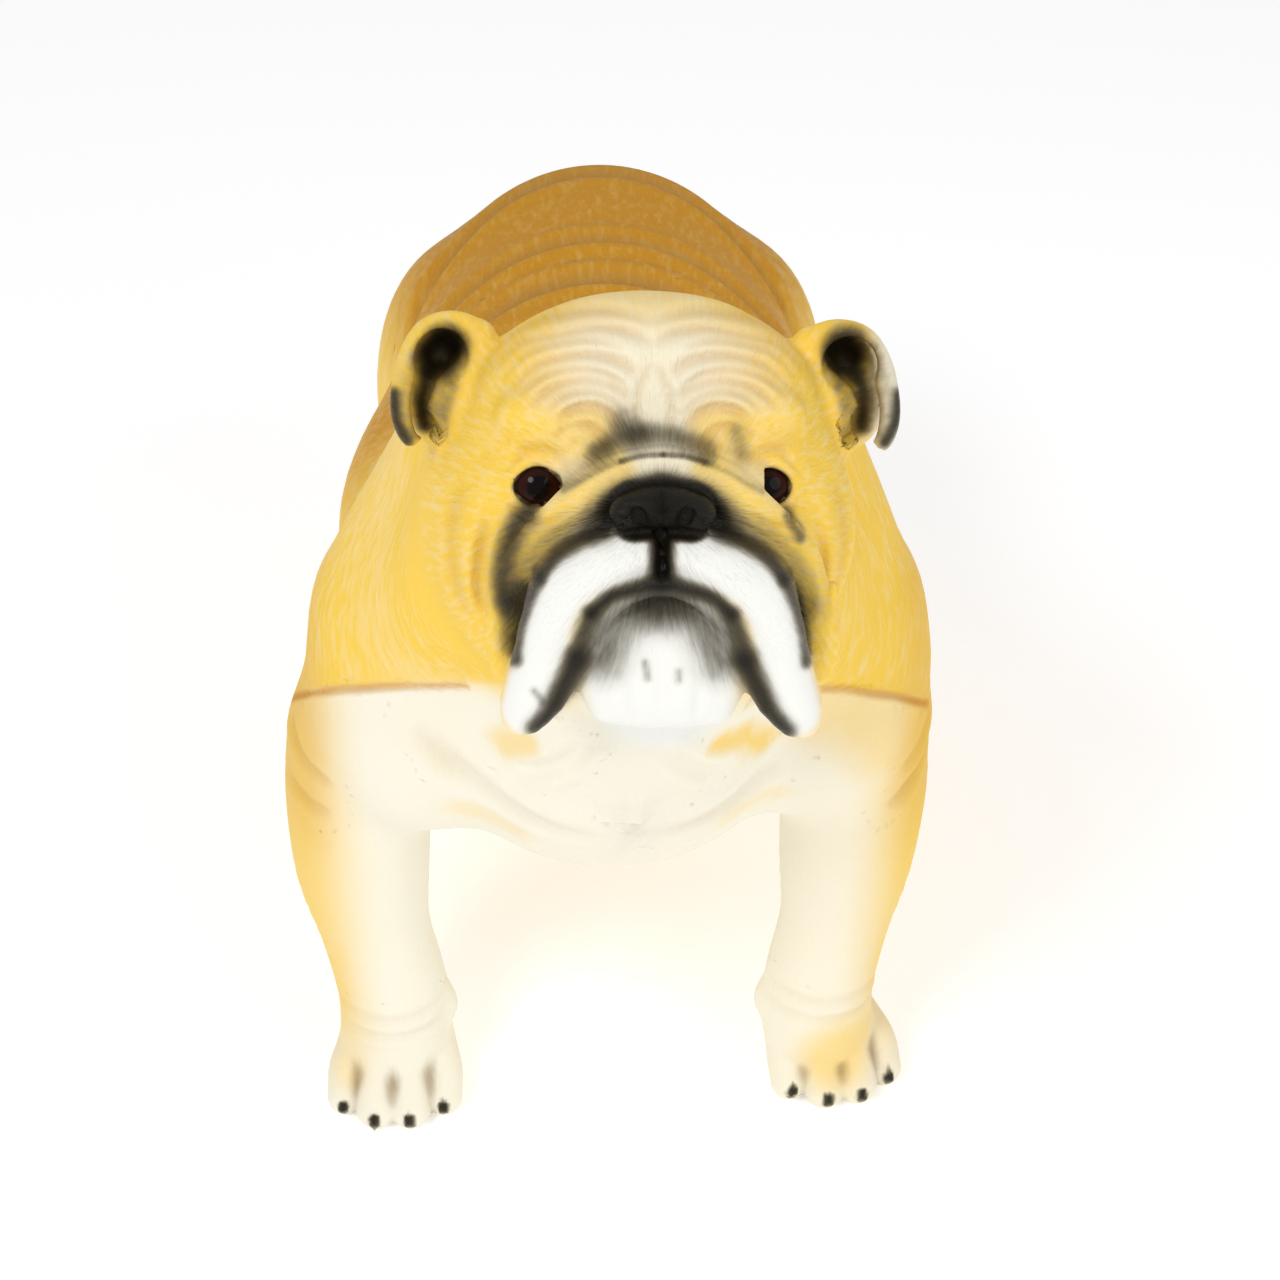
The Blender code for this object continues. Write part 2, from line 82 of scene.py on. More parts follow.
CASTING, EYE_LEFT, EYE_RIGHT = "bulldog_casting", "eye_left", "eye_right"
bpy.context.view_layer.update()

STATUE_HEIGHT = 0.538
PROPORTION_STEPS = 538
UNIT = STATUE_HEIGHT / PROPORTION_STEPS
EYE_DIAMETER = 0.029
HEAD_AT = (18.5, -113.0, 474.0)
HEAD_TIP = 26.0
HEAD_TURN = 3.0
HEAD_ROLL = 2.5

# The muzzle turns less than the skull does, about the tip of the nose
MUZZLE_TURN = 5.0
NOSE_TIP = -56.0
EYE_AT = (52.8, 12.0, 0.0)
FAR = 1000.0


def head_matrix():
    """The head's frame: x to the dog's left, y out of the face's back, z to the crown."""
    turn = Matrix.Rotation(math.radians(HEAD_TURN), 4, "Z")
    tip = Matrix.Rotation(math.radians(-HEAD_TIP), 4, "X")
    roll = Matrix.Rotation(math.radians(HEAD_ROLL), 4, "Y")
    return Matrix.Translation(HEAD_AT) @ turn @ tip @ roll


def muzzle_matrix():
    """The head's frame, turned back a little about the tip of the nose."""
    tip = Matrix.Translation((0, NOSE_TIP, 0))
    return head_matrix() @ tip @ Matrix.Rotation(math.radians(-MUZZLE_TURN), 4, "Z") @ tip.inverted()


BODY = Matrix.Identity(4)
HEAD = head_matrix()
MUZZLE = muzzle_matrix()


def placed(frame, point):
    """A point of a frame, on the statue."""
    return np.array(frame @ Vector(point))


def in_frame(frame, points):
    """The statue's points, in a frame."""
    inverse = np.array(frame.inverted())
    return points @ inverse[:3, :3].T + inverse[:3, 3]


def in_head(points):
    return in_frame(HEAD, points)


def smooth_line(points, steps=5):
    """Points along a smooth curve through the given ones, each a row of coordinates and radii."""
    rows = np.array(points, float)
    if len(rows) < 3:
        return rows
    ends = np.vstack([2 * rows[0] - rows[1], rows, 2 * rows[-1] - rows[-2]])
    line = []
    for i in range(1, len(ends) - 2):
        a, b, c, d = ends[i - 1 : i + 3]
        for t in np.arange(steps) / steps:
            line.append(
                0.5 * (2 * b + (c - a) * t + (2 * a - 5 * b + 4 * c - d) * t**2
                       + (3 * b - a - 3 * c + d) * t**3)
            )
    return np.vstack([line, rows[-1]])


class Ball:
    """An egg-shaped lump: its middle, its three half sizes and its turn about x, y and z in degrees."""

    def __init__(self, at, half, turn=(0, 0, 0), soft=20.0, frame=BODY, cut=False):
        self.at = placed(frame, at)
        self.half = np.array(half, float)
        own = Euler([math.radians(a) for a in turn]).to_matrix()
        self.axes = np.array(frame.to_3x3() @ own)
        self.soft, self.cut = soft, cut
        reach = np.abs(self.axes) @ self.half
        self.low, self.high = self.at - reach, self.at + reach

    def distance(self, points):
        q = (points - self.at) @ self.axes
        near = np.linalg.norm(q / self.half, axis=1)
        slope = np.linalg.norm(q / self.half**2, axis=1)
        return near * (near - 1) / np.maximum(slope, 1e-9)

    def block(self, sculpt):
        matrix = Matrix.Translation(self.at) @ Matrix(self.axes.tolist()).to_4x4()
        matrix = matrix @ Matrix.Diagonal((*self.half, 1))
        bmesh.ops.create_uvsphere(sculpt, u_segments=32, v_segments=16, radius=1, matrix=matrix)


class Limb:
    """A round limb or roll of skin along a smooth line of points, each with its radius."""

    def __init__(self, points, soft=12.0, frame=BODY, cut=False, steps=4):
        line = smooth_line(points, steps)
        self.line = np.array([placed(frame, p[:3]) for p in line])
        self.radius = line[:, 3]
        self.soft, self.cut = soft, cut
        self.low = (self.line - self.radius[:, None]).min(0)
        self.high = (self.line + self.radius[:, None]).max(0)

    def distance(self, points):
        found = np.full(len(points), FAR)
        for a, b, ra, rb in zip(self.line, self.line[1:], self.radius, self.radius[1:]):
            along = b - a
            share = np.clip((points - a) @ along / (along @ along), 0, 1)
            gap = np.linalg.norm(points - a - share[:, None] * along, axis=1)
            found = np.minimum(found, gap - (ra + share * (rb - ra)))
        return found

    def block(self, sculpt):
        for at, radius in zip(self.line, self.radius):
            matrix = Matrix.Translation(at)
            bmesh.ops.create_icosphere(sculpt, subdivisions=2, radius=radius, matrix=matrix)
        for a, b, ra, rb in zip(self.line, self.line[1:], self.radius, self.radius[1:]):
            along = Vector(b - a)
            matrix = Matrix.Translation((a + b) / 2) @ along.to_track_quat("Z", "Y").to_matrix().to_4x4()
            bmesh.ops.create_cone(
                sculpt, cap_ends=True, segments=16, radius1=ra, radius2=rb, depth=along.length, matrix=matrix
            )


class Fold:
    """A stroke drawn on the skin: a crease along a line, with the skin rolled up on both sides of it."""

    # The amount after swell darkens the paint along the crease, as painted shade.
    def __init__(self, points, depth, width, swell=0.0, frame=BODY, flat=False, stain=0.0, steps=5):
        line = smooth_line(points, steps)
        self.flat, self.stain = flat, stain
        self.line = line if flat else np.array([placed(frame, p) for p in line])
        self.frame = frame
        self.depth, self.width, self.swell = depth, width, swell
        self.reach = 4.5 * width
        self.low, self.high = self.line.min(0) - self.reach, self.line.max(0) + self.reach

    def near_line(self, points):
        """Each point's distance from the stroke, and how full the stroke is there. It fades at its ends."""
        facing = 1.0
        if self.flat:
            points = in_frame(self.frame, points)
            facing = np.clip((self.flat - points[:, 1]) / 20.0, 0, 1)
            points = points[:, [0, 2]]
        near = np.full(len(points), FAR)
        fade = np.zeros(len(points))
        count = len(self.line) - 1
        for i, (a, b) in enumerate(zip(self.line, self.line[1:])):
            along = b - a
            share = np.clip((points - a) @ along / (along @ along), 0, 1)
            gap = np.linalg.norm(points - a - share[:, None] * along, axis=1)
            closer = gap < near
            near[closer] = gap[closer]
            at = (i + share[closer]) / count
            fade[closer] = np.clip(4.0 * np.minimum(at, 1 - at), 0, 1)
        return near, np.sqrt(fade) * facing

    def height(self, points):
        """How far the skin rises at each point. Below zero it sinks."""
        near, fade = self.near_line(points)
        crease = -self.depth * np.exp(-((near / self.width) ** 1.5))
        roll = self.swell * np.exp(-(((near - 1.9 * self.width) / (1.1 * self.width)) ** 2))
        return fade * (crease + roll)

    def within(self, points):
        """Which points the stroke can reach."""
        if self.flat:
            points = in_frame(self.frame, points)[:, [0, 2]]
        return np.nonzero(((points > self.low) & (points < self.high)).all(1))[0]


def blocked(forms, name):
    """One mesh of the forms as plain balls and limbs, still passing through each other."""
    sculpt = bmesh.new()
    for form in forms:
        form.block(sculpt)
    mesh = bpy.data.meshes.new(name)
    sculpt.to_mesh(mesh)
    sculpt.free()
    return mesh


def soft_union(a, b, soft):
    blend = np.maximum(soft - np.abs(a - b), 0) / max(soft, 1e-6)
    return np.minimum(a, b) - blend**2 * soft / 4


def soft_cut(a, b, soft):
    blend = np.maximum(soft - np.abs(a + b), 0) / max(soft, 1e-6)
    return np.maximum(a, -b) + blend**2 * soft / 4


class Clay:
    """The statue's soft surface: forms blended in their order, then folds."""

    def __init__(self):
        self.forms, self.folds = [], []

    def add(self, *forms):
        self.forms.extend(forms)

    def draw(self, *folds):
        self.folds.extend(folds)

    def distance(self, points, carved=True, margin=30.0):
        found = np.full(len(points), FAR)
        for form in self.forms:
            if form.cut and not carved:
                continue
            grown = form.soft + margin
            inside = ((points > form.low - grown) & (points < form.high + grown)).all(1)
            at = np.nonzero(inside)[0]
            if not len(at):
                continue
            mix = soft_cut if form.cut else soft_union
            found[at] = mix(found[at], form.distance(points[at]), form.soft)
        for fold in self.folds if carved else []:
            at = fold.within(points)
            if len(at):
                found[at] -= fold.height(points[at])
        return found

    def press(self, points, rounds=4, carved=True, step=0.4, most=8.0):
        """Moves points along the surface's own slope until they lie on it."""
        corners = np.array([(1, -1, -1), (-1, -1, 1), (-1, 1, -1), (1, 1, 1)], float)
        for _ in range(rounds):
            values = [self.distance(points + step * c, carved) for c in corners]
            slope = sum(v[:, None] * c for v, c in zip(values, corners)) / (4 * step)
            length = np.maximum(np.linalg.norm(slope, axis=1), 0.3)
            move = np.clip(sum(values) / 4 / length, -most, most)
            points = points - move[:, None] * slope / length[:, None]
        return points

    def block_out(self):
        return blocked([form for form in self.forms if not form.cut], "blocked_out")


def mirrored(point):
    return (-point[0], *point[1:])


def both_sides(make, *rows, **settings):
    """The same form at the dog's left and right, from points written for its left."""
    yield make(*rows, **settings)
    if make is Ball:
        at, half, *turn = rows
        turned = [(t[0], -t[1], -t[2]) for t in turn]
        yield Ball(mirrored(at), half, *turned, **settings)
    else:
        points, *more = rows
        yield make([mirrored(p) for p in points], *more, **settings)


def add_trunk(clay):
    clay.add(
        Ball((0, 145, 292), (153, 184, 100), soft=10),
        Ball((0, -2, 262), (98, 84, 82), soft=26),
        Ball((0, 245, 284), (114, 150, 86), soft=50),
        Ball((0, 300, 314), (102, 140, 78), soft=50),
        Ball((0, 392, 282), (104, 98, 102), soft=50),
        Ball((0, 70, 335), (108, 110, 66), soft=45),
    )
    clay.add(
        Ball((-104, 14, 272), (60, 78, 80), (0, -8, 0), soft=24),
        Ball((111, 20, 276), (62, 78, 84), (0, 8, 0), soft=24),
    )


def add_front_leg(clay, side, inset, paw_at, paw_turn):
    leg = [
        (side * (133 - 0.4 * inset), 14, 242, 44),
        (side * (140 - 0.6 * inset), 16, 200, 41),
        (side * (141 - inset), 13, 152, 38),
        (side * (136 - inset), 8, 108, 31.5),
        (side * (128 - inset), 2, 68, 31.5),
        (side * (127 - inset), -2, 40, 32),
    ]
    clay.add(Limb(leg, soft=16))
    add_paw(clay, paw_at, paw_turn, FRONT_PAW)


def add_hind_leg(clay, side):
    clay.add(Ball((side * 88, 372, 240), (56, 92, 98), (0, side * 6, 0), soft=36))
    clay.add(Ball((side * 108, 340, 176), (42, 58, 58), (-20, 0, 0), soft=28))
    shank = [
        (side * 112, 348, 150, 42),
        (side * 108, 396, 118, 33),
        (side * 105, 430, 94, 28),
        (side * 104, 432, 64, 27),
        (side * 104, 424, 34, 28),
    ]
    clay.add(Limb(shank, soft=22))
    add_paw(clay, (side * 104, 402, 0), side * 6, HIND_PAW)


FRONT_PAW, HIND_PAW = 0.92, 0.88
PAWS = (
    ((-127, -8, 0), -2, FRONT_PAW),
    ((126, 3, 0), 10, FRONT_PAW),
    ((-104, 402, 0), -6, HIND_PAW),
    ((104, 402, 0), 6, HIND_PAW),
)
TOES = ((-29, -20, 12.0), (-10, -31, 13.0), (10, -31, 13.0), (29, -20, 12.0))


def paw_frame(at, turn):
    return Matrix.Translation(at) @ Matrix.Rotation(math.radians(turn), 4, "Z")


def add_paw(clay, at, turn, size):
    """A paw with four toes and their claws, pointing to -Y before its turn."""
    place = paw_frame(at, turn)
    clay.add(Ball((0, 4 * size, 20 * size), (34 * size, 34 * size, 24 * size), soft=16 * size, frame=place))
    for x, y, r in TOES:
        toe = [
            (0.78 * x, y + 32, 31, r),
            (1.02 * x, y + 9, 23, r + 0.5),
            (1.06 * x, y - 6, 11, r),
        ]
        clay.add(Limb([[size * c for c in p] for p in toe], soft=4 * size, frame=place))
        claw = [
            (1.08 * x, y - 15, 13, 4.2),
            (1.10 * x, y - 20, 8, 2.6),
        ]
        clay.add(Limb([[size * c for c in p] for p in claw], soft=1.5 * size, frame=place))


def add_wrist_pad(clay, side, at):
    clay.add(Ball(at, (6, 8, 10), (0, side * 10, 0), soft=8))


def add_tail(clay):
    clay.add(Limb([(0, 474, 318, 26), (2, 498, 296, 19), (7, 508, 272, 14), (12, 504, 254, 9)], soft=14))


def add_neck(clay):
    clay.add(Limb([(0, 75, 318, 102), (5, 20, 342, 98), (12, -30, 384, 88)], soft=34))
    clay.add(Limb([(4, -40, 300, 60), (10, -70, 350, 58)], soft=40))
    clay.add(
        Limb([(-60, -2, 438, 42), (-72, 5, 402, 47), (-88, 5, 366, 50), (-104, 5, 335, 50)], soft=24),
        Limb([(82, 15, 425, 44), (91, 12, 394, 47), (99, 8, 366, 50), (110, 5, 335, 50)], soft=24),
        Limb([(-60, -50, 432, 32), (-68, -46, 395, 36), (-76, -34, 360, 40), (-80, -18, 328, 42)], soft=24),
        Limb([(78, -42, 405, 30), (82, -38, 370, 36), (84, -24, 332, 42)], soft=24),
    )


def add_head(clay):
    clay.add(
        Ball((0, 80, 20), (92, 80, 67), soft=24, frame=HEAD),
        Ball((0, 40, 40), (74, 40, 43), soft=26, frame=HEAD),
        Ball((0, 70, -62), (84, 70, 46), soft=26, frame=HEAD),
        Ball((0, 30, -84), (54, 52, 26), soft=14, frame=HEAD),
    )
    clay.add(*both_sides(Ball, (56, 56, -24), (46, 58, 58), soft=20, frame=HEAD))
    clay.add(*both_sides(Ball, (44, 10, 28), (28, 18, 15), (0, -14, 0), soft=12, frame=HEAD))
    clay.add(*both_sides(Ball, (54, 19, 1), (23, 19, 17), soft=8, frame=HEAD))


def add_muzzle(clay):
    clay.add(
        Ball((0, 2, -36), (64, 44, 42), soft=14, frame=MUZZLE),
        Ball((0, -6, 3), (48, 36, 21), soft=12, frame=MUZZLE),
    )
    roll = [
        (0, -34, 13, 9),
        (15, -34, 11, 9.5),
        (28, -31, 4, 10),
        (39.5, -25, -6.5, 10.5),
        (50, -18, -18, 11),
        (60, -11, -31, 11.5),
        (68, -5, -45, 11),
        (72, 0, -58, 10.5),
        (74, 4, -72, 9.5),
        (73, 8, -86, 7.5),
    ]
    clay.add(*both_sides(Limb, roll, soft=5, frame=MUZZLE, steps=2))
    clay.add(
        Ball((0, -30, 1), (23, 15, 12), soft=8, frame=MUZZLE),
        Ball((0, -46, -4), (20, 13, 10), soft=3, frame=MUZZLE),
        Ball((0, -18, -73), (44, 33, 35), soft=5, frame=MUZZLE),
    )
    clay.add(*both_sides(Ball, (16, -47, -7), (8, 9.5, 8), soft=2.5, frame=MUZZLE))
    for x, r in ((9, 8), (25, 8)):
        lump = [
            (x, 0.3 * x - 39, -76, r - 2),
            (1.05 * x, 0.4 * x - 42, -87, r),
            (x, 0.3 * x - 37, -97, r - 1),
        ]
        clay.add(*both_sides(Limb, lump, soft=12, frame=MUZZLE))
    lip = [
        (0, -49, -38, 5),
        (12, -50, -41, 5.5),
        (22, -47, -47, 6),
        (33, -42, -60, 6.5),
        (41, -35, -78, 6.5),
        (50, -28, -96, 6),
        (60, -21, -107, 5),
    ]
    clay.add(*both_sides(Limb, lip, soft=4, frame=MUZZLE, steps=2))
    clay.add(*both_sides(Ball, (38, -30, -39), (26, 19, 18), (0, 38, 0), soft=6, frame=MUZZLE))
    flew = [
        (8, -45, -25, 9.5),
        (24, -45, -30, 13),
        (39, -38, -41, 14),
        (48.5, -31, -56, 15),
        (52.5, -26, -71, 14.5),
        (57, -22, -86, 14),
        (62, -19, -98, 12.5),
        (65, -17, -105, 9),
    ]
    clay.add(*both_sides(Limb, flew, soft=4, frame=MUZZLE, steps=2))
    clay.add(*both_sides(Ball, (10.5, -57, -7.5), (3.6, 8, 5), (0, 30, 0), soft=1.5, frame=MUZZLE, cut=True))
    clay.add(*both_sides(Limb, [(15, -57, -9, 2.2), (22, -50, -10, 1.4)], soft=1.5, frame=MUZZLE, cut=True))


def eye_middle(side):
    return (side * EYE_AT[0], EYE_AT[1], EYE_AT[2])


def add_eyelids(clay):
    """Lids that stand on the eyeball, round an opening that the casting fills to just behind the glass."""
    eye = EYE_DIAMETER / UNIT / 2
    reach = eye + 1.0
    for side in (-1, 1):
        for height, thick in ((12.2, 3.2), (-11.2, 3.0)):
            lid = []
            for share in np.linspace(-1, 1, 7):
                x, z = 14.6 * share, height * (1 - share**2)
                y = -math.sqrt(reach**2 - x**2 - z**2)
                lid.append((side * (EYE_AT[0] + x), EYE_AT[1] + y, EYE_AT[2] + z, thick))
            clay.add(Limb(lid, soft=3, frame=HEAD, steps=2))
        opening = (side * EYE_AT[0], EYE_AT[1] - 16, EYE_AT[2])
        clay.add(Ball(opening, (12.2, 16, 9.2), soft=2.0, frame=HEAD, cut=True))
        clay.add(Ball(eye_middle(side), (eye - 1.2, eye - 1.2, eye - 1.2), soft=0.5, frame=HEAD))


def add_ear(clay, side, drop):
    """A rose ear: a cupped flap rolled over at the top and outside, hollow in front, with a fold inside."""

    def place(*rows):
        return [(side * x, y, z - drop, *more) for x, y, z, *more in rows]

    def hollow(at, half):
        clay.add(Ball(place(at)[0], half, soft=3, cut=True, frame=HEAD))

    clay.add(Ball(place((97, 66, 49))[0], (22, 22, 31), (0, side * -8, 0), soft=12, frame=HEAD))
    rim = place(
        (80, 57, 70, 8),
        (92, 50, 75, 7),
        (104, 46, 72, 6.5),
        (112, 43, 60, 6),
        (115.5, 42, 44, 6),
        (115.5, 41, 33, 5.8),
        (113.5, 41, 25, 5),
        (110.5, 42, 20, 3.8),
    )
    clay.add(Limb(rim, soft=6, frame=HEAD))
    hollow((98, 48, 60), (13, 26, 14))
    hollow((103, 42, 38), (9, 20, 19))
    fold = place((85, 62, 54, 6), (91, 56, 47, 7.5), (97, 51, 37, 7), (101, 48, 27, 5.5), (103, 47, 21, 4))
    clay.add(Limb(fold, soft=6, frame=HEAD))


def draw_back_folds(clay):
    rings = ((389, 388, 72, 4.5), (292, 395, 55, 4.5), (240, 398, 42, 4.0), (196, 399, 30, 3.0))
    for y, z, widest, depth in rings:
        turns = np.radians(np.linspace(-widest, widest, 9))
        bow = 1 - np.cos(turns)
        ring = np.column_stack((125 * np.sin(turns), y - 125 * bow, z - 108 * bow))
        # Each crease on the back is darkened along its line with painted shade.
        clay.draw(Fold(clay.press(ring), depth, 7.0, swell=3.0, stain=0.8))


FACE = dict(frame=HEAD, flat=60.0)
SNOUT = dict(frame=MUZZLE, flat=60.0)


def draw_face_folds(clay):
    arcs = (
        ([(45, 30), (38, 36), (29, 38), (21, 35), (15, 28)], 2.0, 2.6),
        ([(50, 35), (42, 42), (30, 44), (20, 41), (12, 33)], 1.5, 2.2),
        ([(58, 38), (46, 46), (31, 49), (18, 46), (10, 39)], 2.2, 2.6),
        ([(62, 42), (52, 50), (38, 54), (24, 53), (12, 47)], 1.4, 2.2),
        ([(66, 44), (56, 54), (44, 59), (30, 61), (16, 58), (7, 51)], 2.2, 2.8),
        ([(70, 48), (58, 60), (43, 65), (27, 67), (13, 64)], 1.4, 2.4),
        ([(74, 52), (60, 65), (42, 70), (25, 73), (10, 71), (0, 66)], 2.0, 2.8),
        ([(76, 58), (60, 72), (40, 78), (20, 80), (0, 76)], 1.4, 2.8),
    )
    # Every forehead crease is darkened along its line with painted shade.
    for points, depth, width in arcs:
        clay.draw(*both_sides(Fold, points, 1.3 * depth, width, 1.3, stain=0.45, **FACE))
    # Points, depth, width, swell and the painted shade along each brow fold.
    brow_folds = (
        ([(7, 25), (8, 38), (5, 50), (0, 58)], 1.8, 2.0, 0.8, 0.2),
        ([(20, 20), (28, 27), (38, 29), (46, 22)], 1.4, 2.2, 0.8, 0.2),
        ([(66, 12), (58, 17), (46, 16), (38, 9)], 0.8, 2.2, 0.4, 0.1),
        ([(40, -8), (50, -13), (60, -13), (68, -8)], 1.3, 1.6, 0.6, 0.3),
        ([(88, 2), (93, -20), (92, -44), (85, -66)], 1.4, 3.4, 1.0, 0.4),
    )
    for points, depth, width, swell, stain in brow_folds:
        clay.draw(*both_sides(Fold, points, depth, width, swell, stain=stain, **FACE))
    # Painted shade in the cheek creases, much darker at the dog's right.
    for side, stain in ((-1, 0.7), (1, 0.1)):
        crease = [(side * x, z) for x, z in ((77, -14), (80, -32), (81, -48), (78, -62))]
        clay.draw(Fold(crease, 2.0, 2.6, 1.2, stain=stain, **FACE))
    clay.draw(Fold([(0, -13), (0, -24), (0, -37)], 3.2, 2.6, 1.0, **SNOUT))
    clay.draw(Fold([(0, 4), (0, -4), (0, -13)], 1.4, 1.6, 0.4, **SNOUT))
    clay.draw(Fold([(0, -70), (1, -82), (0, -96)], 1.2, 3.0, 0.4, **SNOUT))
    clay.draw(*both_sides(Fold, [(16, -82), (17, -91), (15, -100)], 0.9, 2.6, 0.4, **SNOUT))


# Where the painter's colours meet along the casting's seam, from the shoulders in to the neck
SEAMS = (
    [(-173, 15, 263), (-166, 0, 276), (-146, -36, 305), (-127, -50, 316), (-108, -59, 323), (-75, -72, 332)],
    [(106, -63, 320), (120, -56, 315), (133, -50, 308), (148, -41, 299), (160, -28, 286), (170, -6, 268)],
)


def draw_body_folds(clay):
    """Seams and creases of the shoulders, chest and wrists, laid onto the skin from rough places."""

    def crease(points, *more, **settings):
        clay.draw(Fold(clay.press(np.array(points, float)), *more, **settings))

    # Most creases here are darkened along their lines with painted shade, the seams and wrists only a little.
    for seam in SEAMS:
        crease(seam, 1.0, 1.6, 0.7, stain=0.12)
    crease([(-172, 4, 262), (-166, -16, 246), (-150, -32, 238)], 1.8, 4.5, 1.4, stain=0.25)
    crease([(-173, 2, 226), (-164, -17, 216), (-152, -25, 213)], 1.6, 4.5, 1.2, stain=0.2)
    crease([(170, 0, 244), (161, -18, 222), (150, -24, 210)], 1.8, 4.5, 1.4, stain=0.25)
    crease([(172, 6, 268), (164, -14, 250), (154, -28, 238)], 1.4, 4.5, 1.2, stain=0.15)
    for side, x, y, low in ((-1, 127, 2, 60), (1, 124, 6, 66)):
        for z in (low, low + 12):
            turns = np.radians(np.linspace(-70, 70, 7))
            ring = [(side * x + 34 * math.sin(t), y - 34 * math.cos(t), z - 4 * math.cos(t)) for t in turns]
            crease(ring, 0.8, 3.0, 1.0, stain=0.08)
    crease([(-14, -120, 338), (-22, -113, 318), (-35, -97, 299), (-50, -84, 287)], 3.0, 5.0, 3.0)
    crease([(24, -124, 336), (38, -108, 307), (52, -90, 290)], 2.6, 5.0, 3.0)
    crease([(-102, -58, 300), (-81, -63, 275), (-49, -79, 258), (-8, -91, 249)], 1.6, 6.0, 1.6, stain=0.15)
    crease([(87, -58, 270), (60, -72, 256), (18, -90, 249)], 1.6, 6.0, 1.6, stain=0.15)


def sculpt_bulldog():
    clay = Clay()
    add_trunk(clay)
    add_neck(clay)
    add_front_leg(clay, -1, 0, *PAWS[0][:2])
    add_front_leg(clay, 1, 8, *PAWS[1][:2])
    add_wrist_pad(clay, -1, (-97, -2, 56))
    add_wrist_pad(clay, 1, (89, 2, 52))
    for side in (-1, 1):
        add_hind_leg(clay, side)
    add_tail(clay)
    add_head(clay)
    add_muzzle(clay)
    add_eyelids(clay)
    add_ear(clay, -1, 3)
    add_ear(clay, 1, 6)
    draw_back_folds(clay)
    draw_face_folds(clay)
    draw_body_folds(clay)
    return clay


def to_statue():
    """From the forms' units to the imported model's frame, found from the place of an eye."""
    low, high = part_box(EYE_LEFT)
    shift = (low + high) / 2 - UNIT * (HEAD @ Vector(EYE_AT))
    return Matrix.Translation(shift) @ Matrix.Scale(UNIT, 4)


def only(*objects):
    """Deselects everything, then selects these and makes the first active."""
    bpy.ops.object.select_all(action="DESELECT")
    for obj in objects:
        obj.select_set(True)
    bpy.context.view_layer.objects.active = objects[0]


def copy_of_nodes(name, nodes):
    """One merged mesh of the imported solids, in the forms' units."""
    copies = []
    for node in nodes:
        mesh = frame["nodes"][node].data.copy()
        mesh.transform(to_statue().inverted())
        mesh.materials.clear()
        obj = bpy.data.objects.new(name, mesh)
        bpy.context.scene.collection.objects.link(obj)
        copies.append(obj)
    only(*copies)
    bpy.ops.object.join()
    bpy.ops.object.mode_set(mode="EDIT")
    bpy.ops.mesh.select_all(action="SELECT")
    bpy.ops.mesh.remove_doubles(threshold=0.01)
    bpy.ops.object.mode_set(mode="OBJECT")
    return bpy.context.object


def plug_sockets(obj):
    """Fills the eye sockets with balls that overlap their walls, for the skin to run across."""
    radius = EYE_DIAMETER / UNIT / 2 + 1.0
    for side in (-1, 1):
        middle = placed(HEAD, eye_middle(side))
        bpy.ops.mesh.primitive_uv_sphere_add(segments=32, ring_count=16, radius=radius, location=middle)
        only(obj, bpy.context.object)
        bpy.ops.object.join()


def apply_modifier(obj, name, kind, **settings):
    modifier = obj.modifiers.new(name, kind)
    for key, value in settings.items():
        setattr(modifier, key, value)
    only(obj)
    bpy.ops.object.modifier_apply(modifier=name)


def points_of(mesh):
    points = np.empty(len(mesh.vertices) * 3, np.float32)
    mesh.vertices.foreach_get("co", points)
    return points.reshape(-1, 3).astype(float)


def move_points(mesh, points):
    mesh.vertices.foreach_set("co", points.astype(np.float32).ravel())
    mesh.update()


def normals_of(mesh):
    normals = np.empty(len(mesh.vertices) * 3, np.float32)
    mesh.vertex_normals.foreach_get("vector", normals)
    return normals.reshape(-1, 3).astype(float)


def face_middles(mesh):
    middles = np.empty(len(mesh.polygons) * 3, np.float32)
    mesh.polygons.foreach_get("center", middles)
    return middles.reshape(-1, 3).astype(float)


def on_head(points):
    """Where the head is, ears and jowls with it."""
    q = in_head(points)
    return (q[:, 1] < 120) & (q[:, 2] > -125) & (np.abs(q[:, 0]) < 130)


def on_face(points):
    q = in_head(points)
    return (q[:, 1] < 48) & (q[:, 2] > -118) & (q[:, 2] < 76) & (np.abs(q[:, 0]) < 92)


def on_muzzle(points):
    q = in_head(points)
    return (q[:, 1] < 16) & (q[:, 2] > -114) & (q[:, 2] < 24) & (np.abs(q[:, 0]) < 80)


def on_ears(points):
    q = in_head(points)
    return (np.abs(q[:, 0]) > 76) & (q[:, 1] > 24) & (q[:, 1] < 84) & (q[:, 2] > 4)


def near_creases(clay):
    """Finds the faces that lie on a drawn crease of the body."""

    def chosen(points):
        near = np.zeros(len(points), bool)
        for fold in clay.folds:
            if not fold.flat:
                at = fold.within(points)
                near[at] |= fold.near_line(points[at])[0] < 3.0 * fold.width
        return near & ~on_head(points)

    return chosen


def on_paws(points):
    return points[:, 2] < 52


def split_faces(obj, chosen):
    """Subdivides the faces whose middles are chosen."""
    mesh = obj.data
    picked = chosen(face_middles(mesh))
    only(obj)
    bpy.ops.object.mode_set(mode="EDIT")
    bpy.ops.mesh.select_mode(type="FACE")
    bpy.ops.mesh.select_all(action="DESELECT")
    bpy.ops.object.mode_set(mode="OBJECT")
    mesh.polygons.foreach_set("select", picked)
    bpy.ops.object.mode_set(mode="EDIT")
    bpy.ops.mesh.subdivide(number_cuts=1)
    bpy.ops.object.mode_set(mode="OBJECT")


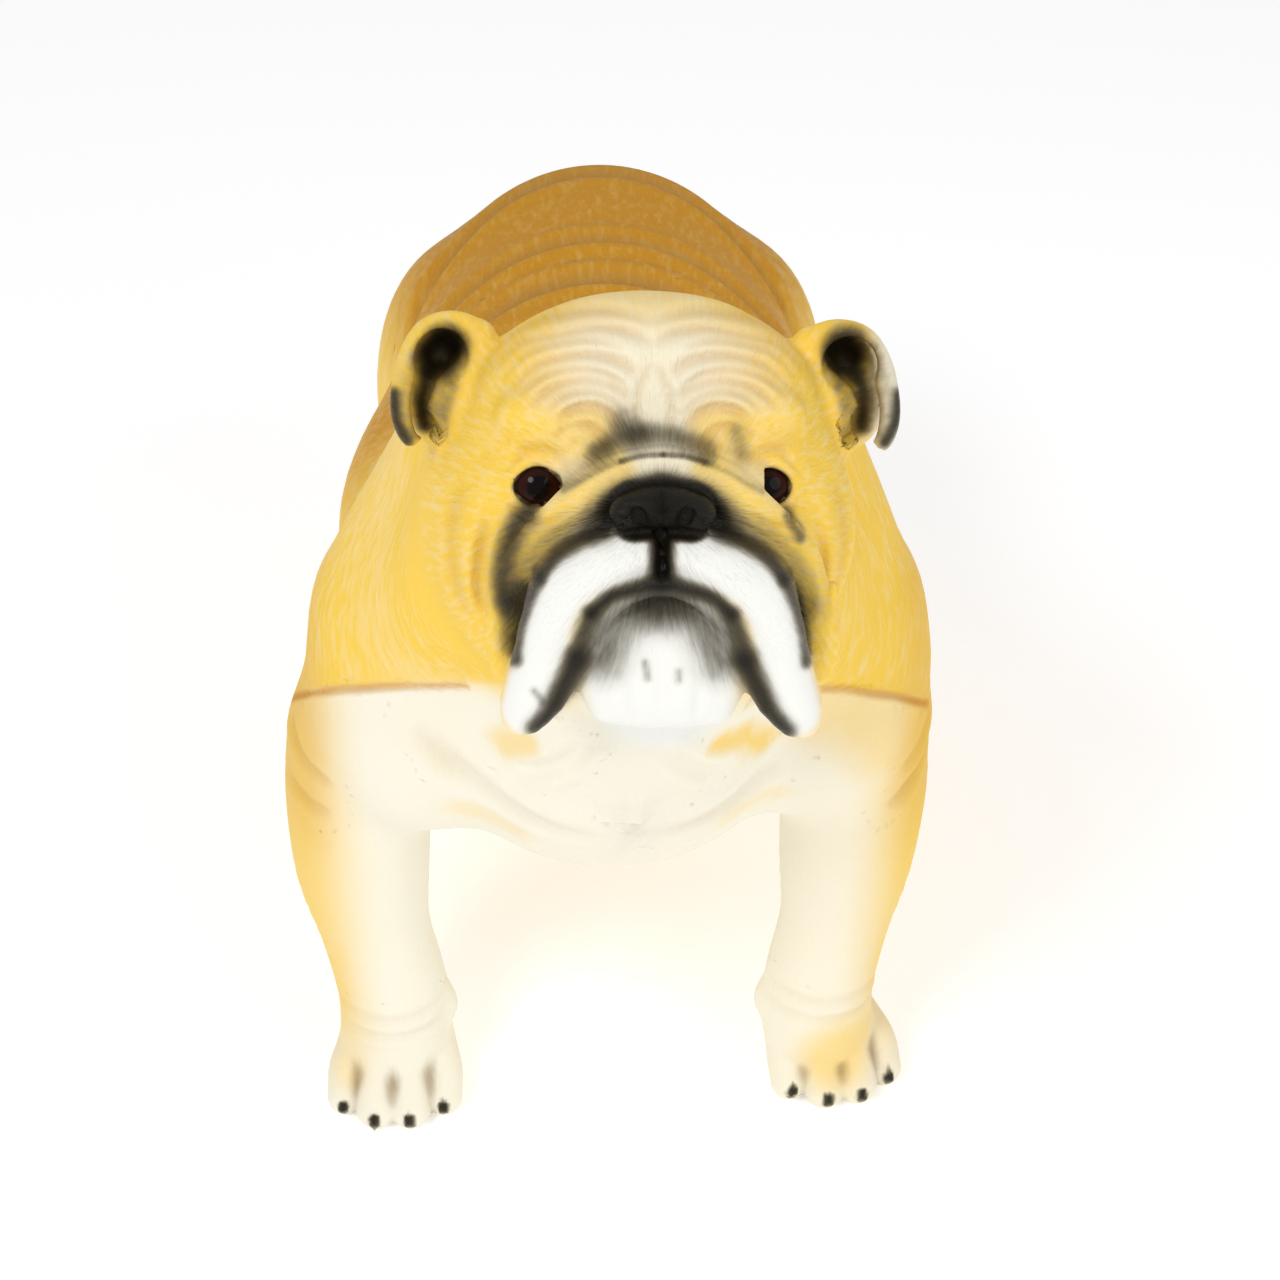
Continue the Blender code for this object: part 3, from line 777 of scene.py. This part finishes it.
def lighten(obj, name, chosen, triangles):
    """Thins the skin where chosen(points) holds, down to about so many triangles there."""
    group = obj.vertex_groups.new(name=name)
    picked = np.nonzero(chosen(points_of(obj.data)))[0]
    group.add(picked.tolist(), 1.0, "REPLACE")
    counts = np.array([face.loop_total - 2 for face in obj.data.polygons])
    there = counts[chosen(face_middles(obj.data))].sum()
    ratio = (counts.sum() - there + triangles) / counts.sum()
    if ratio < 1:
        apply_modifier(obj, name, "DECIMATE", vertex_group=name, ratio=ratio)
    obj.vertex_groups.clear()


def press_part(mesh, clay, chosen, rounds):
    points = points_of(mesh)
    picked = chosen(points)
    points[picked] = clay.press(points[picked], rounds)
    move_points(mesh, points)


def everywhere(points):
    return np.ones(len(points), bool)


def on_skull(points):
    return on_head(points) & ~on_face(points) & ~on_ears(points)


def on_brows(points):
    return on_face(points) & ~on_muzzle(points)


# Triangles left to each part of the skin before its details are split finer, and to the whole skin after that
BUDGETS = (
    ("body", lambda points: ~on_head(points), 30000),
    ("skull", on_skull, 9000),
    ("ears", on_ears, 5200),
    ("brows", on_brows, 7500),
)
SKIN_TRIANGLES = 196000


def ramp(values, start, end):
    """From 0 at start to 1 at end, with soft ends."""
    share = np.clip((values - start) / (end - start), 0, 1)
    return share * share * (3 - 2 * share)


class Spray:
    """Paint along a line, full within one radius and gone at another. In a frame, it comes from the front."""

    def __init__(self, points, inner, outer, amount=1.0, frame=None, depth=60.0, steps=5):
        self.line = smooth_line(points, steps)
        self.inner, self.outer, self.amount = inner, outer, amount
        self.frame, self.depth = frame, depth

    def mask(self, points):
        reach = 1.0
        if self.frame:
            local = in_frame(self.frame, points)
            points, reach = local[:, [0, 2]], ramp(local[:, 1], self.depth + 20, self.depth)
        near = np.full(len(points), FAR)
        spots = self.line if len(self.line) > 1 else np.vstack([self.line, self.line])
        for a, b in zip(spots, spots[1:]):
            along = b - a
            share = np.clip((points - a) @ along / max(along @ along, 1e-9), 0, 1)
            near = np.minimum(near, np.linalg.norm(points - a - share[:, None] * along, axis=1))
        return self.amount * reach * ramp(near, self.outer, self.inner)


def both_sprays(points, *more, **settings):
    yield Spray(points, *more, **settings)
    yield Spray([mirrored(p) for p in points], *more, **settings)


ON_MUZZLE = dict(frame=MUZZLE)
ON_FACE = dict(frame=HEAD)
IN_EAR = dict(frame=HEAD, depth=70.0)
ON_RIM = dict(frame=HEAD, depth=44.0)


class Canvas:
    """The skin as the painter sees it: its points on the statue and in the head's frame, and its hollows."""

    def __init__(self, obj, clay):
        self.clay = clay
        self.body = points_of(obj.data)
        self.head = in_head(self.body)
        self.hollow = hollows_of(obj.data, self.body, normals_of(obj.data))
        hx, hy, hz = self.head.T
        self.is_head = ramp(hy, 118, 84) * ramp(hz, -124, -96) * ramp(np.abs(hx), 134, 122)
        self.is_face = ramp(hy, 96, 52) * ramp(hz, -128, -104)

    def cover(self, mask, sprays):
        """The mask with more paint laid over it."""
        for spray in sprays:
            mask = 1 - (1 - mask) * (1 - spray.mask(self.body))
        return mask


def hollows_of(mesh, points, normals):
    """How far each point lies below its neighbours, against the length of the edges there."""
    ends = np.empty(len(mesh.edges) * 2, np.int32)
    mesh.edges.foreach_get("vertices", ends)
    a, b = ends.reshape(-1, 2).T
    along = points[b] - points[a]
    length = np.maximum(np.linalg.norm(along, axis=1), 1e-6)
    count = np.bincount(a, minlength=len(points)) + np.bincount(b, minlength=len(points))
    rise = np.bincount(a, (along * normals[a]).sum(1) / length**2, len(points))
    rise -= np.bincount(b, (along * normals[b]).sum(1) / length**2, len(points))
    bend = rise / np.maximum(count, 1)
    for _ in range(2):
        spread = np.bincount(a, bend[b], len(points)) + np.bincount(b, bend[a], len(points))
        bend = 0.5 * bend + 0.5 * spread / np.maximum(count, 1)
    return bend


def above_seam(body, start, end):
    """How far a point lies above the casting's seam, which runs lower at the dog's left."""
    x, y, z = body.T
    return ramp(z + 0.78 * np.minimum(y, 20) - 277 + 0.1 * np.maximum(x - 50, 0), start, end)


def paint_yellow(canvas):
    x, y, z = canvas.body.T
    neck = above_seam(canvas.body, -2, 4) * (0.74 + 0.24 * ramp(np.abs(x + 6), 70, 150))
    below = ramp(np.abs(x), 124, 172) * ramp(z, 10, 60) * 0.85
    shins = ramp(np.abs(x), 132, 160) * ramp(z, 200, 90) * ramp(z, 30, 70) * 0.8
    flank = ramp(y, 40, 110) * ramp(z, 120, 250) * 0.97
    hind = ramp(y, 180, 300) * ramp(z, 40, 190) * 0.9
    patches = canvas.cover(
        np.zeros(len(x)),
        (
            Spray([(-58, -78, 300), (-42, -96, 316)], 3, 14, 0.55),
            Spray([(50, -104, 322), (66, -82, 305), (78, -66, 290)], 4, 14, 0.8),
            Spray([(-86, -50, 246), (-50, -70, 238)], 3, 14, 0.3),
            Spray([(86, -50, 246), (60, -66, 242)], 3, 14, 0.25),
            Spray([(136, -2, 52), (128, -30, 34)], 10, 32, 0.6),
            Spray([(112, -58, 306), (136, -50, 290), (152, -36, 262)], 8, 40, 0.5),
            Spray([(-146, -14, 44), (-150, -24, 24)], 6, 22, 0.4),
        ),
    )
    mask = np.maximum.reduce([neck, below, shins, flank, hind, patches]) + 0.1 * ramp(x, 60, 150)
    hx, hy, hz = canvas.head.T
    aside = np.maximum(-hx - 7, 0.74 * (hx + 7))
    temples = 0.16 + 0.8 * ramp(aside, 16, 62) + 0.5 * ramp(hz, 64, 88) + 0.15 * ramp(hy, 30, 70)
    pale_ears = ramp(np.abs(hx), 98, 116) * ramp(hz, 0, 20) * ramp(hx, -140, 140) * ramp(hy, 72, 50)
    temples = temples * (1 - 0.9 * pale_ears)
    brows = canvas.cover(temples, both_sprays([(62, 20), (44, 24), (28, 26)], 6, 18, 0.7, **ON_FACE))
    roll = [(20, 12), (31, 4), (42, -7), (54, -20), (64, -36)]
    rolls = canvas.cover(brows, both_sprays(roll, 3, 12, 0.75, **ON_MUZZLE))
    cheek = [(80, 4), (84, -20), (82, -46), (78, -70)]
    cheeks = canvas.cover(rolls, both_sprays(cheek, 8, 26, 0.7, **ON_FACE))
    return mask * (1 - canvas.is_head) + cheeks * canvas.is_head


def paint_ochre(canvas):
    x, y, z = canvas.body.T
    back = ramp(y, 60, 170) * ramp(z, 270, 360)
    shoulder = ramp(np.abs(x), 140, 166) * ramp(z, 150, 230) * 0.3
    seams = canvas.cover(np.zeros(len(x)), [Spray(seam, 0.5, 4.2, 0.7) for seam in SEAMS])
    # Orange paint along the seams, and orange-brown painted shade in the drawn creases.
    stains = np.maximum(0.5 * fold_stains(canvas), seams)
    return np.clip(np.maximum(back, shoulder) * (1 - canvas.is_face) + stains, 0, 1)


def fold_stains(canvas):
    """Painted shade along the drawn creases: a brown darkening by each crease's own amount."""
    stain = np.zeros(len(canvas.body))
    for fold in canvas.clay.folds:
        if fold.stain:
            at = fold.within(canvas.body)
            near, fade = fold.near_line(canvas.body[at])
            brown_and_shade = fold.stain * fade * np.exp(-((near / (1.1 * fold.width)) ** 2))
            stain[at] = np.maximum(stain[at], brown_and_shade)
    return stain


# Brown paint on the rump, and brown painted shade in the creases, in the head's hollows and between the toes.
def paint_brown_and_shade(canvas):
    x, y, z = canvas.body.T
    # Painted shade in the head's hollows: darker where the skin bends inwards.
    hollow = ramp(canvas.hollow, 0.02, 0.12)
    rump = ramp(y, 100, 220) * ramp(z, 300, 380) * 0.08 + ramp(y, 330, 450) * ramp(z, 300, 390) * 0.3
    mask = np.clip(0.55 * fold_stains(canvas) + 0.35 * hollow * canvas.is_head + rump, 0, 1)
    # Painted shade in the gaps between the toes.
    toe_gap_shade = []
    for at, turn, size in PAWS:
        place = paw_frame(at, turn)
        for (xa, ya, _), (xb, yb, _) in zip(TOES, TOES[1:]):
            gap_x, gap_y = 0.5 * (xa + xb), 0.5 * (ya + yb)
            line = [(gap_x, gap_y + 14, 34), (1.02 * gap_x, gap_y - 2, 24), (1.04 * gap_x, gap_y - 8, 8)]
            toe_gap_shade.append(Spray([placed(place, [size * c for c in p]) for p in line], 2.0, 9.0, 0.75))
    return canvas.cover(mask * (1 - 0.7 * canvas.is_face), toe_gap_shade)


def claw_sprays():
    for at, turn, size in PAWS:
        place = paw_frame(at, turn)
        for x, y, _ in TOES:
            line = [(1.08 * x, y - 18, 14), (1.10 * x, y - 19, 9)]
            yield Spray([placed(place, [size * c for c in p]) for p in line], 2.0, 4.0, 0.95)


# Strokes of black on the muzzle, some of them painted shade in and beside its creases: points, the radii where
# they are full and gone, and how much paint they lay
BLACK_AND_SHADE_ON_BOTH_SIDES = (
    ([(25, -12), (23, -4), (13, 3), (0, 5)], 1, 8, 0.95),
    # next stroke: painted shade round the nose's black, on the underside of the roll
    ([(28, -13), (25, -3), (14, 4), (0, 5)], 1, 13, 0.4),
    # next two strokes: painted shade in the crease between the nose roll and the lip pad, down onto the cheek
    ([(23, -13), (37, -20), (48, -27.5), (55.5, -37)], 0.2, 6, 0.85),
    ([(55.5, -37), (61.5, -50), (65, -63), (66.5, -76)], 0.2, 6, 0.75),
    # next stroke: painted shade on the roll's side of that crease
    ([(30, -12), (43, -18), (55, -26), (63, -38), (69, -54)], 0, 14, 0.42),
    # next stroke: the mouth line in black paint
    ([(0, -37), (10, -39.5), (22, -43.5), (31.5, -52)], 0.3, 6, 0.92),
    # next stroke: painted shade at the pad's inner edge
    ([(31.5, -53), (35, -62), (38, -74)], 0.5, 8, 0.75),
    # next stroke: the lower lip in black paint
    ([(38, -74), (44, -88), (50, -101), (56, -109)], 1, 10.5, 0.95),
    # next stroke: painted shade on the chin under the lip
    ([(0, -46), (12, -50), (21, -58), (28, -72)], 1, 21, 0.6),
    # next two strokes: painted shade along the roll's upper edge, running on towards the eyes
    ([(0, 18.8), (10, 18), (19, 15.5)], 0.2, 2.2, 0.55),
    ([(18, 16), (30, 10.5), (38, 5.5), (45, 1.5)], 0, 3.0, 0.3),
)
BLACK_AND_SHADE_ON_ONE_SIDE = (
    ([(-12, -6), (0, -5), (12, -6)], 12, 15),
    # next stroke: painted shade, deepening the roll's side of its crease at the dog's right
    ([(-66, -46), (-70, -56), (-71, -68), (-70, -76)], 0, 9, 0.6),
    ([(-62, -10), (-68, -19), (-72, -30), (-74, -42), (-72, -52)], 0, 11, 0.8),
    ([(57, -10), (63, -20)], 0, 5, 0.6),
    ([(0, -10), (0, -36)], 2.5, 9),
    ([(-31, 18), (-20, 24), (-6, 26), (8, 24), (20, 19)], 0, 9, 0.6),
    ([(-19, 31), (-13, 25)], 0, 12, 0.5),
    # next stroke: painted shade in the crease from the right eye's inner corner towards the stop
    ([(-46, 3), (-36, 11), (-26, 18)], 0, 8, 0.3),
    ([(33, 27), (36, 17)], 0, 8, 0.4),
    # where the white paint of the chin and the pad is rubbed
    ([(-7, -74), (-6, -81)], 0, 3.6, 0.36),
    ([(8, -78), (8, -82)], 0, 3.6, 0.36),
    ([(-58, -90), (-54, -96)], 0, 3.6, 0.36),
)
BLACK_IN_EARS = (
    ([(95, 62), (99, 57)], 5, 16, 0.97),
    ([(104, 48), (107, 36), (106, 24)], 0, 7, 0.8),
    ([(92, 44), (96, 32), (98, 20)], 0, 7, 0.35),
)
BLACK_ON_RIMS = (
    ([(99, 60), (107, 46), (109, 30)], 4, 20, 0.36),
    ([(120, 40), (119, 28), (114, 18)], 0, 6, 0.85),
)


# Black paint on the nose, lips, mask, ears, eye rims and claws, and black painted shade in and beside the
# muzzle's creases.
def paint_black_and_shade(canvas):
    sprays = [Spray(*row, **ON_MUZZLE) for row in BLACK_AND_SHADE_ON_ONE_SIDE]
    for rows, where in ((BLACK_AND_SHADE_ON_BOTH_SIDES, ON_MUZZLE), (BLACK_IN_EARS, IN_EAR), (BLACK_ON_RIMS, ON_RIM)):
        for row in rows:
            sprays.extend(both_sprays(*row, **where))
    sprays.extend(Spray([placed(HEAD, eye_middle(side))], 15.2, 17.2) for side in (-1, 1))
    sprays.extend(claw_sprays())
    return canvas.cover(np.zeros(len(canvas.body)), sprays)


def paint_white(canvas):
    sprays = [
        *both_sprays([(14, -26), (30, -31), (44, -41), (52, -56), (55, -74), (62, -100)], 9, 15, **ON_MUZZLE),
        Spray([(0, -72), (0, -98)], 28, 40, **ON_MUZZLE),
    ]
    return canvas.cover(np.zeros(len(canvas.body)), sprays)


# How far behind the eyes the face's hair ends and the coat's begins
PARTING = 75.0


def hair_places(canvas):
    """Across and along the modelled hair, which lies outwards from the nose and backwards from the head."""
    hx, hy, hz = canvas.head.T
    from_nose = np.hypot(hx, hz + 5)
    face = np.column_stack((60 * np.abs(np.arctan2(hx, hz + 5)), from_nose, 0.3 * hx))
    away = canvas.body - np.array((10.0, -40.0, 440.0))
    round_neck = 150 * np.abs(np.arctan2(away[:, 0], -away[:, 1] + 0.3 * away[:, 2]))
    coat = np.column_stack((round_neck, np.linalg.norm(away, axis=1), 0.3 * away[:, 0]))
    return UNIT * np.where(canvas.head[:, 1:2] < PARTING, face, coat)


MASKS = {
    "yellow": paint_yellow,
    "ochre": paint_ochre,
    "brown_and_shade": paint_brown_and_shade,
    "white": paint_white,
    "black": paint_black_and_shade,
}


def paint_masks(obj, clay):
    canvas = Canvas(obj, clay)
    for name, paint_with in MASKS.items():
        layer = obj.data.attributes.new(name, "FLOAT", "POINT")
        layer.data.foreach_set("value", np.clip(paint_with(canvas), 0, 1).astype(np.float32))
    hair = obj.data.attributes.new("hair", "FLOAT_VECTOR", "POINT")
    hair.data.foreach_set("vector", hair_places(canvas).astype(np.float32).ravel())
    coat = obj.data.attributes.new("coat", "FLOAT", "POINT")
    parted = ramp(np.abs(canvas.head[:, 1] - PARTING), 2, 18)
    thick = parted * (0.25 + 0.75 * above_seam(canvas.body, 0, 12))
    coat.data.foreach_set("value", thick.astype(np.float32))


class Socket:
    """A node's output, with maths written as Python."""

    def __init__(self, nodes, output):
        self.nodes, self.output = nodes, output

    def combine(self, operation, first, second):
        return self.nodes.add("ShaderNodeMath", dict(operation=operation), {0: first, 1: second})

    def __add__(self, other):
        return self.combine("ADD", self, other)

    def __radd__(self, other):
        return self.combine("ADD", other, self)

    def __sub__(self, other):
        return self.combine("SUBTRACT", self, other)

    def __rsub__(self, other):
        return self.combine("SUBTRACT", other, self)

    def __mul__(self, other):
        return self.combine("MULTIPLY", self, other)

    def __rmul__(self, other):
        return self.combine("MULTIPLY", other, self)


class Finish:
    """A material whose nodes are added one by one."""

    def __init__(self, name):
        self.material = bpy.data.materials.new(name)
        self.material.use_nodes = True
        self.tree = self.material.node_tree
        self.shader = self.tree.nodes["Principled BSDF"]

    def add(self, kind, settings=None, values=None, output=0):
        node = self.tree.nodes.new(kind)
        for key, value in (settings or {}).items():
            setattr(node, key, value)
        for key, value in (values or {}).items():
            self.put(node.inputs[key], value)
        return Socket(self, node.outputs[output])

    def put(self, socket, value):
        if isinstance(value, Socket):
            self.tree.links.new(value.output, socket)
        else:
            socket.default_value = value

    def finish(self, **values):
        for key, value in values.items():
            self.put(self.shader.inputs[key.replace("_", " ")], value)
        return self.material

    def mask(self, name):
        return self.add("ShaderNodeAttribute", dict(attribute_name=name), output="Fac")

    def blend(self, factor, first, second):
        settings = dict(data_type="RGBA", blend_type="MIX")
        return self.add("ShaderNodeMix", settings, {0: factor, 6: first, 7: second}, output=2)

    def noise(self, scale, detail=4.0, rough=0.6):
        where = self.add("ShaderNodeTexCoord", output="Object")
        values = {"Vector": where, "Scale": scale, "Detail": detail, "Roughness": rough}
        return self.add("ShaderNodeTexNoise", None, values)


def painted_cast(colours):
    finish = Finish("painted_cast")
    place = finish.add("ShaderNodeAttribute", dict(attribute_name="hair"), output="Vector")
    strands = finish.add(
        "ShaderNodeVectorMath", dict(operation="MULTIPLY"), {0: place, 1: (1.0, 0.16, 1.0)}
    )
    hair = finish.add(
        "ShaderNodeTexNoise", None, {"Vector": strands, "Scale": 520.0, "Detail": 2.0, "Roughness": 0.55}
    )
    mottle = finish.noise(38.0, 5.0, 0.62)
    speck = finish.noise(420.0, 2.0, 0.5)
    colour = tuple(colours.cream)
    edge = (hair - 0.5) * 0.9 + (mottle - 0.5) * 0.5
    worn = finish.mask("coat") * 0.9
    for layer, rough in (("yellow", 0.9), ("ochre", 0.9), ("brown_and_shade", 1.0), ("white", 0.5), ("black", 1.4)):
        mask = finish.mask(layer)
        broken = mask + edge * rough * mask * (1 - mask)
        if layer in ("yellow", "ochre"):
            broken = broken - (hair - 0.47) * worn * mask
        if layer == "black":
            haze = finish.add("ShaderNodeClamp", None, {"Value": broken * 1.3})
            colour = finish.blend(haze * 0.85, colour, tuple(colours.soot))
            broken = broken * 1.25 - 0.25
        tone = finish.add("ShaderNodeClamp", None, {"Value": broken})
        colour = finish.blend(tone, colour, tuple(getattr(colours, layer)))
    dust = (speck - 0.5) * 0.16 * (1 - finish.mask("black"))
    faded = finish.blend(finish.add("ShaderNodeClamp", None, {"Value": dust}), colour, tuple(colours.cream))
    relief = hair * finish.mask("coat") * 0.8 + speck * 0.2
    bump = finish.add("ShaderNodeBump", None, {"Strength": 1.0, "Distance": 0.0012, "Height": relief})
    rough = 0.58 - 0.24 * finish.mask("black") + (mottle - 0.5) * 0.15
    return finish.finish(Base_Color=faded, Roughness=rough, Normal=bump, Specular_IOR_Level=0.16)


def eye_glass(colours):
    finish = Finish("eye_glass")
    colour = finish.blend(finish.mask("pupil"), tuple(colours.iris), tuple(colours.pupil))
    return finish.finish(Base_Color=colour, Roughness=0.04, Specular_IOR_Level=0.1)


def mark_pupil(mesh):
    """Marks how far each point of an eye that is still at its middle looks straight ahead."""
    ahead = np.array(HEAD.to_3x3() @ Vector((0, -1, 0)))
    points = points_of(mesh)
    look = points @ ahead / np.linalg.norm(points, axis=1)
    layer = mesh.attributes.new("pupil", "FLOAT", "POINT")
    layer.data.foreach_set("value", ramp(look, 0.90, 0.94).astype(np.float32))


def paint(name, description, default):
    return bpy.props.FloatVectorProperty(
        name=name, description=description, default=default, subtype="COLOR", size=4, min=0, max=1
    )


class StatueSizes(bpy.types.PropertyGroup):
    eye_diameter: bpy.props.FloatProperty(
        name="Eye diameter", description="Across one glass eye", default=EYE_DIAMETER, unit="LENGTH"
    )


class StatueColours(bpy.types.PropertyGroup):
    cream: paint("Cream", "Undercoat of the whole casting", (0.88, 0.84, 0.70, 1))
    yellow: paint("Yellow", "Sprayed on the shoulders and sides", (0.90, 0.60, 0.08, 1))
    ochre: paint("Ochre", "Sprayed on the back", (0.60, 0.27, 0.006, 1))
    # Brown on the rump; the same brown is laid as painted shade in creases, in the head's hollows and between
    # the toes.
    brown_and_shade: paint("Wash", "Brown wash between the toes and in creases", (0.30, 0.19, 0.08, 1))
    white: paint("White", "Muzzle pads and chin", (0.85, 0.85, 0.80, 1))
    soot: paint("Soot", "Thin edge of the black paint", (0.17, 0.13, 0.06, 1))
    # This black is also laid as painted shade in the muzzle's creases and under its lip.
    black: paint("Black", "Nose, lips and mask", (0.010, 0.008, 0.005, 1))
    iris: paint("Iris", "Brown glass of the eye", (0.026, 0.006, 0.003, 1))
    pupil: paint("Pupil", "Black middle of the eye", (0.004, 0.002, 0.002, 1))


class StatueStage(bpy.types.PropertyGroup):
    floor_width: bpy.props.FloatProperty(
        name="Floor width", description="Across the pale floor", default=14.0, unit="LENGTH"
    )
    floor_paint: paint("Floor", "Pale colour of the floor", (0.94, 0.94, 0.95, 1))
    room_light: bpy.props.FloatProperty(
        name="Room light", description="Strength of the white light from all round", default=0.62, min=0
    )
    key_light: bpy.props.FloatProperty(
        name="Key light", description="Power of the lamp at the dog's right", default=18.0, unit="POWER"
    )
    fill_light: bpy.props.FloatProperty(
        name="Fill light", description="Power of the lamp at the dog's left", default=12.0, unit="POWER"
    )


# Sizes of the remesh's cells, in the forms' units
FINE_CELLS, QUICK_CELLS = (3.2, 2.8), (4.5,)


class STATUE_OT_casting(bpy.types.Operator):
    """Carve and paint the bulldog's casting"""

    bl_idname = "statue.casting"
    bl_label = "Casting"

    def execute(self, context):
        clay = sculpt_bulldog()
        obj = copy_of_nodes("bulldog_skin", (CASTING,))
        plug_sockets(obj)
        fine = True
        for cell in FINE_CELLS if fine else QUICK_CELLS:
            apply_modifier(obj, "one_skin", "REMESH", mode="VOXEL", voxel_size=cell)
            press_part(obj.data, clay, everywhere, 2)
        for name, chosen, triangles in BUDGETS:
            lighten(obj, name, chosen, triangles)
        creased = near_creases(clay)
        split_faces(obj, creased)
        split_faces(obj, on_paws)
        split_faces(obj, lambda points: on_face(points) | on_ears(points))
        lighten(obj, "skin", everywhere, SKIN_TRIANGLES)
        press_part(obj.data, clay, lambda points: on_head(points) | on_paws(points) | creased(points), 2)
        apply_modifier(obj, "three_sided", "TRIANGULATE")
        flatten_soles(obj)
        paint_masks(obj, clay)
        obj.data.transform(to_statue())
        obj.data.shade_smooth()
        obj.data.materials.append(painted_cast(context.scene.statue_colours))
        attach(obj, "root")
        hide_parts(CASTING)
        return {"FINISHED"}


def flatten_soles(obj):
    """Brings what hangs below the ground up to it."""
    points = points_of(obj.data)
    points[:, 2] = np.maximum(points[:, 2], 0)
    move_points(obj.data, points)


class STATUE_OT_eyes(bpy.types.Operator):
    """Turn the two glass eyes"""

    bl_idname = "statue.eyes"
    bl_label = "Eyes"

    def execute(self, context):
        material = eye_glass(context.scene.statue_colours)
        diameter = context.scene.statue_sizes.eye_diameter
        for node in (EYE_LEFT, EYE_RIGHT):
            low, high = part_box(node)
            bpy.ops.mesh.primitive_uv_sphere_add(
                segments=64, ring_count=32, radius=diameter / 2, location=(low + high) / 2
            )
            eye = context.object
            mark_pupil(eye.data)
            only(eye)
            bpy.ops.object.transform_apply(location=True, rotation=True, scale=True)
            eye.name = node + "_glass"
            eye.data.shade_smooth()
            eye.data.materials.append(material)
            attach(eye, "root")
            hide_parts(node)
        return {"FINISHED"}


# The photograph's viewing angle, in metres, degrees and millimetres, and where the lamps point
CAMERA_AT = (-0.0158, -1.3678, 1.153)
CAMERA_TURN = (55, 0, -1.6)
LENS, SENSOR_WIDTH = 78.02, 36.0
LIT_POINT = (0, -0.1, 0.25)


class STATUE_OT_stage(bpy.types.Operator):
    """Lay the pale floor and set the lights and the camera"""

    bl_idname = "statue.stage"
    bl_label = "Stage"

    def execute(self, context):
        scene = context.scene
        scene.view_settings.view_transform = "Standard"
        settings = scene.statue_stage
        bpy.ops.mesh.primitive_plane_add(size=settings.floor_width, location=(0, 0, 0))
        floor = context.object
        floor.name = "pale_floor"
        finish = Finish("pale_floor")
        white = tuple(settings.floor_paint)
        floor.data.materials.append(
            finish.finish(Base_Color=white, Roughness=0.9, Emission_Color=white, Emission_Strength=0.3)
        )
        world = bpy.data.worlds.new("studio")
        world.use_nodes = True
        sky = world.node_tree.nodes["Background"].inputs
        sky["Color"].default_value = (1, 1, 1, 1)
        sky["Strength"].default_value = settings.room_light
        scene.world = world
        for name, place, size, power in (
            ("key", (-1.0, -1.5, 2.0), 0.8, settings.key_light),
            ("fill", (1.6, -1.6, 1.5), 1.8, settings.fill_light),
        ):
            bpy.ops.object.light_add(type="AREA", location=place)
            light = context.object
            light.name = name
            light.data.shape = "DISK"
            light.data.size = size
            light.data.energy = power
            towards = Vector(LIT_POINT) - Vector(place)
            light.rotation_euler = towards.to_track_quat("-Z", "Y").to_euler()
        bpy.ops.object.camera_add(location=CAMERA_AT, rotation=[math.radians(a) for a in CAMERA_TURN])
        camera = context.object
        camera.data.lens, camera.data.sensor_width = LENS, SENSOR_WIDTH
        scene.camera = camera
        return {"FINISHED"}


class STATUE_PT_parts(bpy.types.Panel):
    """Lists the pieces, their sizes and their colours"""

    bl_label = "Garden Bulldog"
    bl_space_type = "VIEW_3D"
    bl_region_type = "UI"
    bl_category = "Garden Bulldog"

    def draw(self, context):
        for operator in OPERATORS:
            self.layout.operator(operator.bl_idname)
        scene = context.scene
        for group in (scene.statue_sizes, scene.statue_colours, scene.statue_stage):
            for name in group.__annotations__:
                self.layout.prop(group, name)


OPERATORS = (STATUE_OT_casting, STATUE_OT_eyes, STATUE_OT_stage)
CLASSES = (StatueSizes, StatueColours, StatueStage, *OPERATORS, STATUE_PT_parts)


def register():
    for cls in CLASSES:
        bpy.utils.register_class(cls)
    bpy.types.Scene.statue_sizes = bpy.props.PointerProperty(type=StatueSizes)
    bpy.types.Scene.statue_colours = bpy.props.PointerProperty(type=StatueColours)
    bpy.types.Scene.statue_stage = bpy.props.PointerProperty(type=StatueStage)


def unregister():
    del bpy.types.Scene.statue_stage
    del bpy.types.Scene.statue_colours
    del bpy.types.Scene.statue_sizes
    for cls in reversed(CLASSES):
        bpy.utils.unregister_class(cls)


def main():
    register()
    bpy.ops.statue.casting()
    bpy.ops.statue.eyes()
    bpy.ops.statue.stage()


if __name__ == "__main__":
    main()
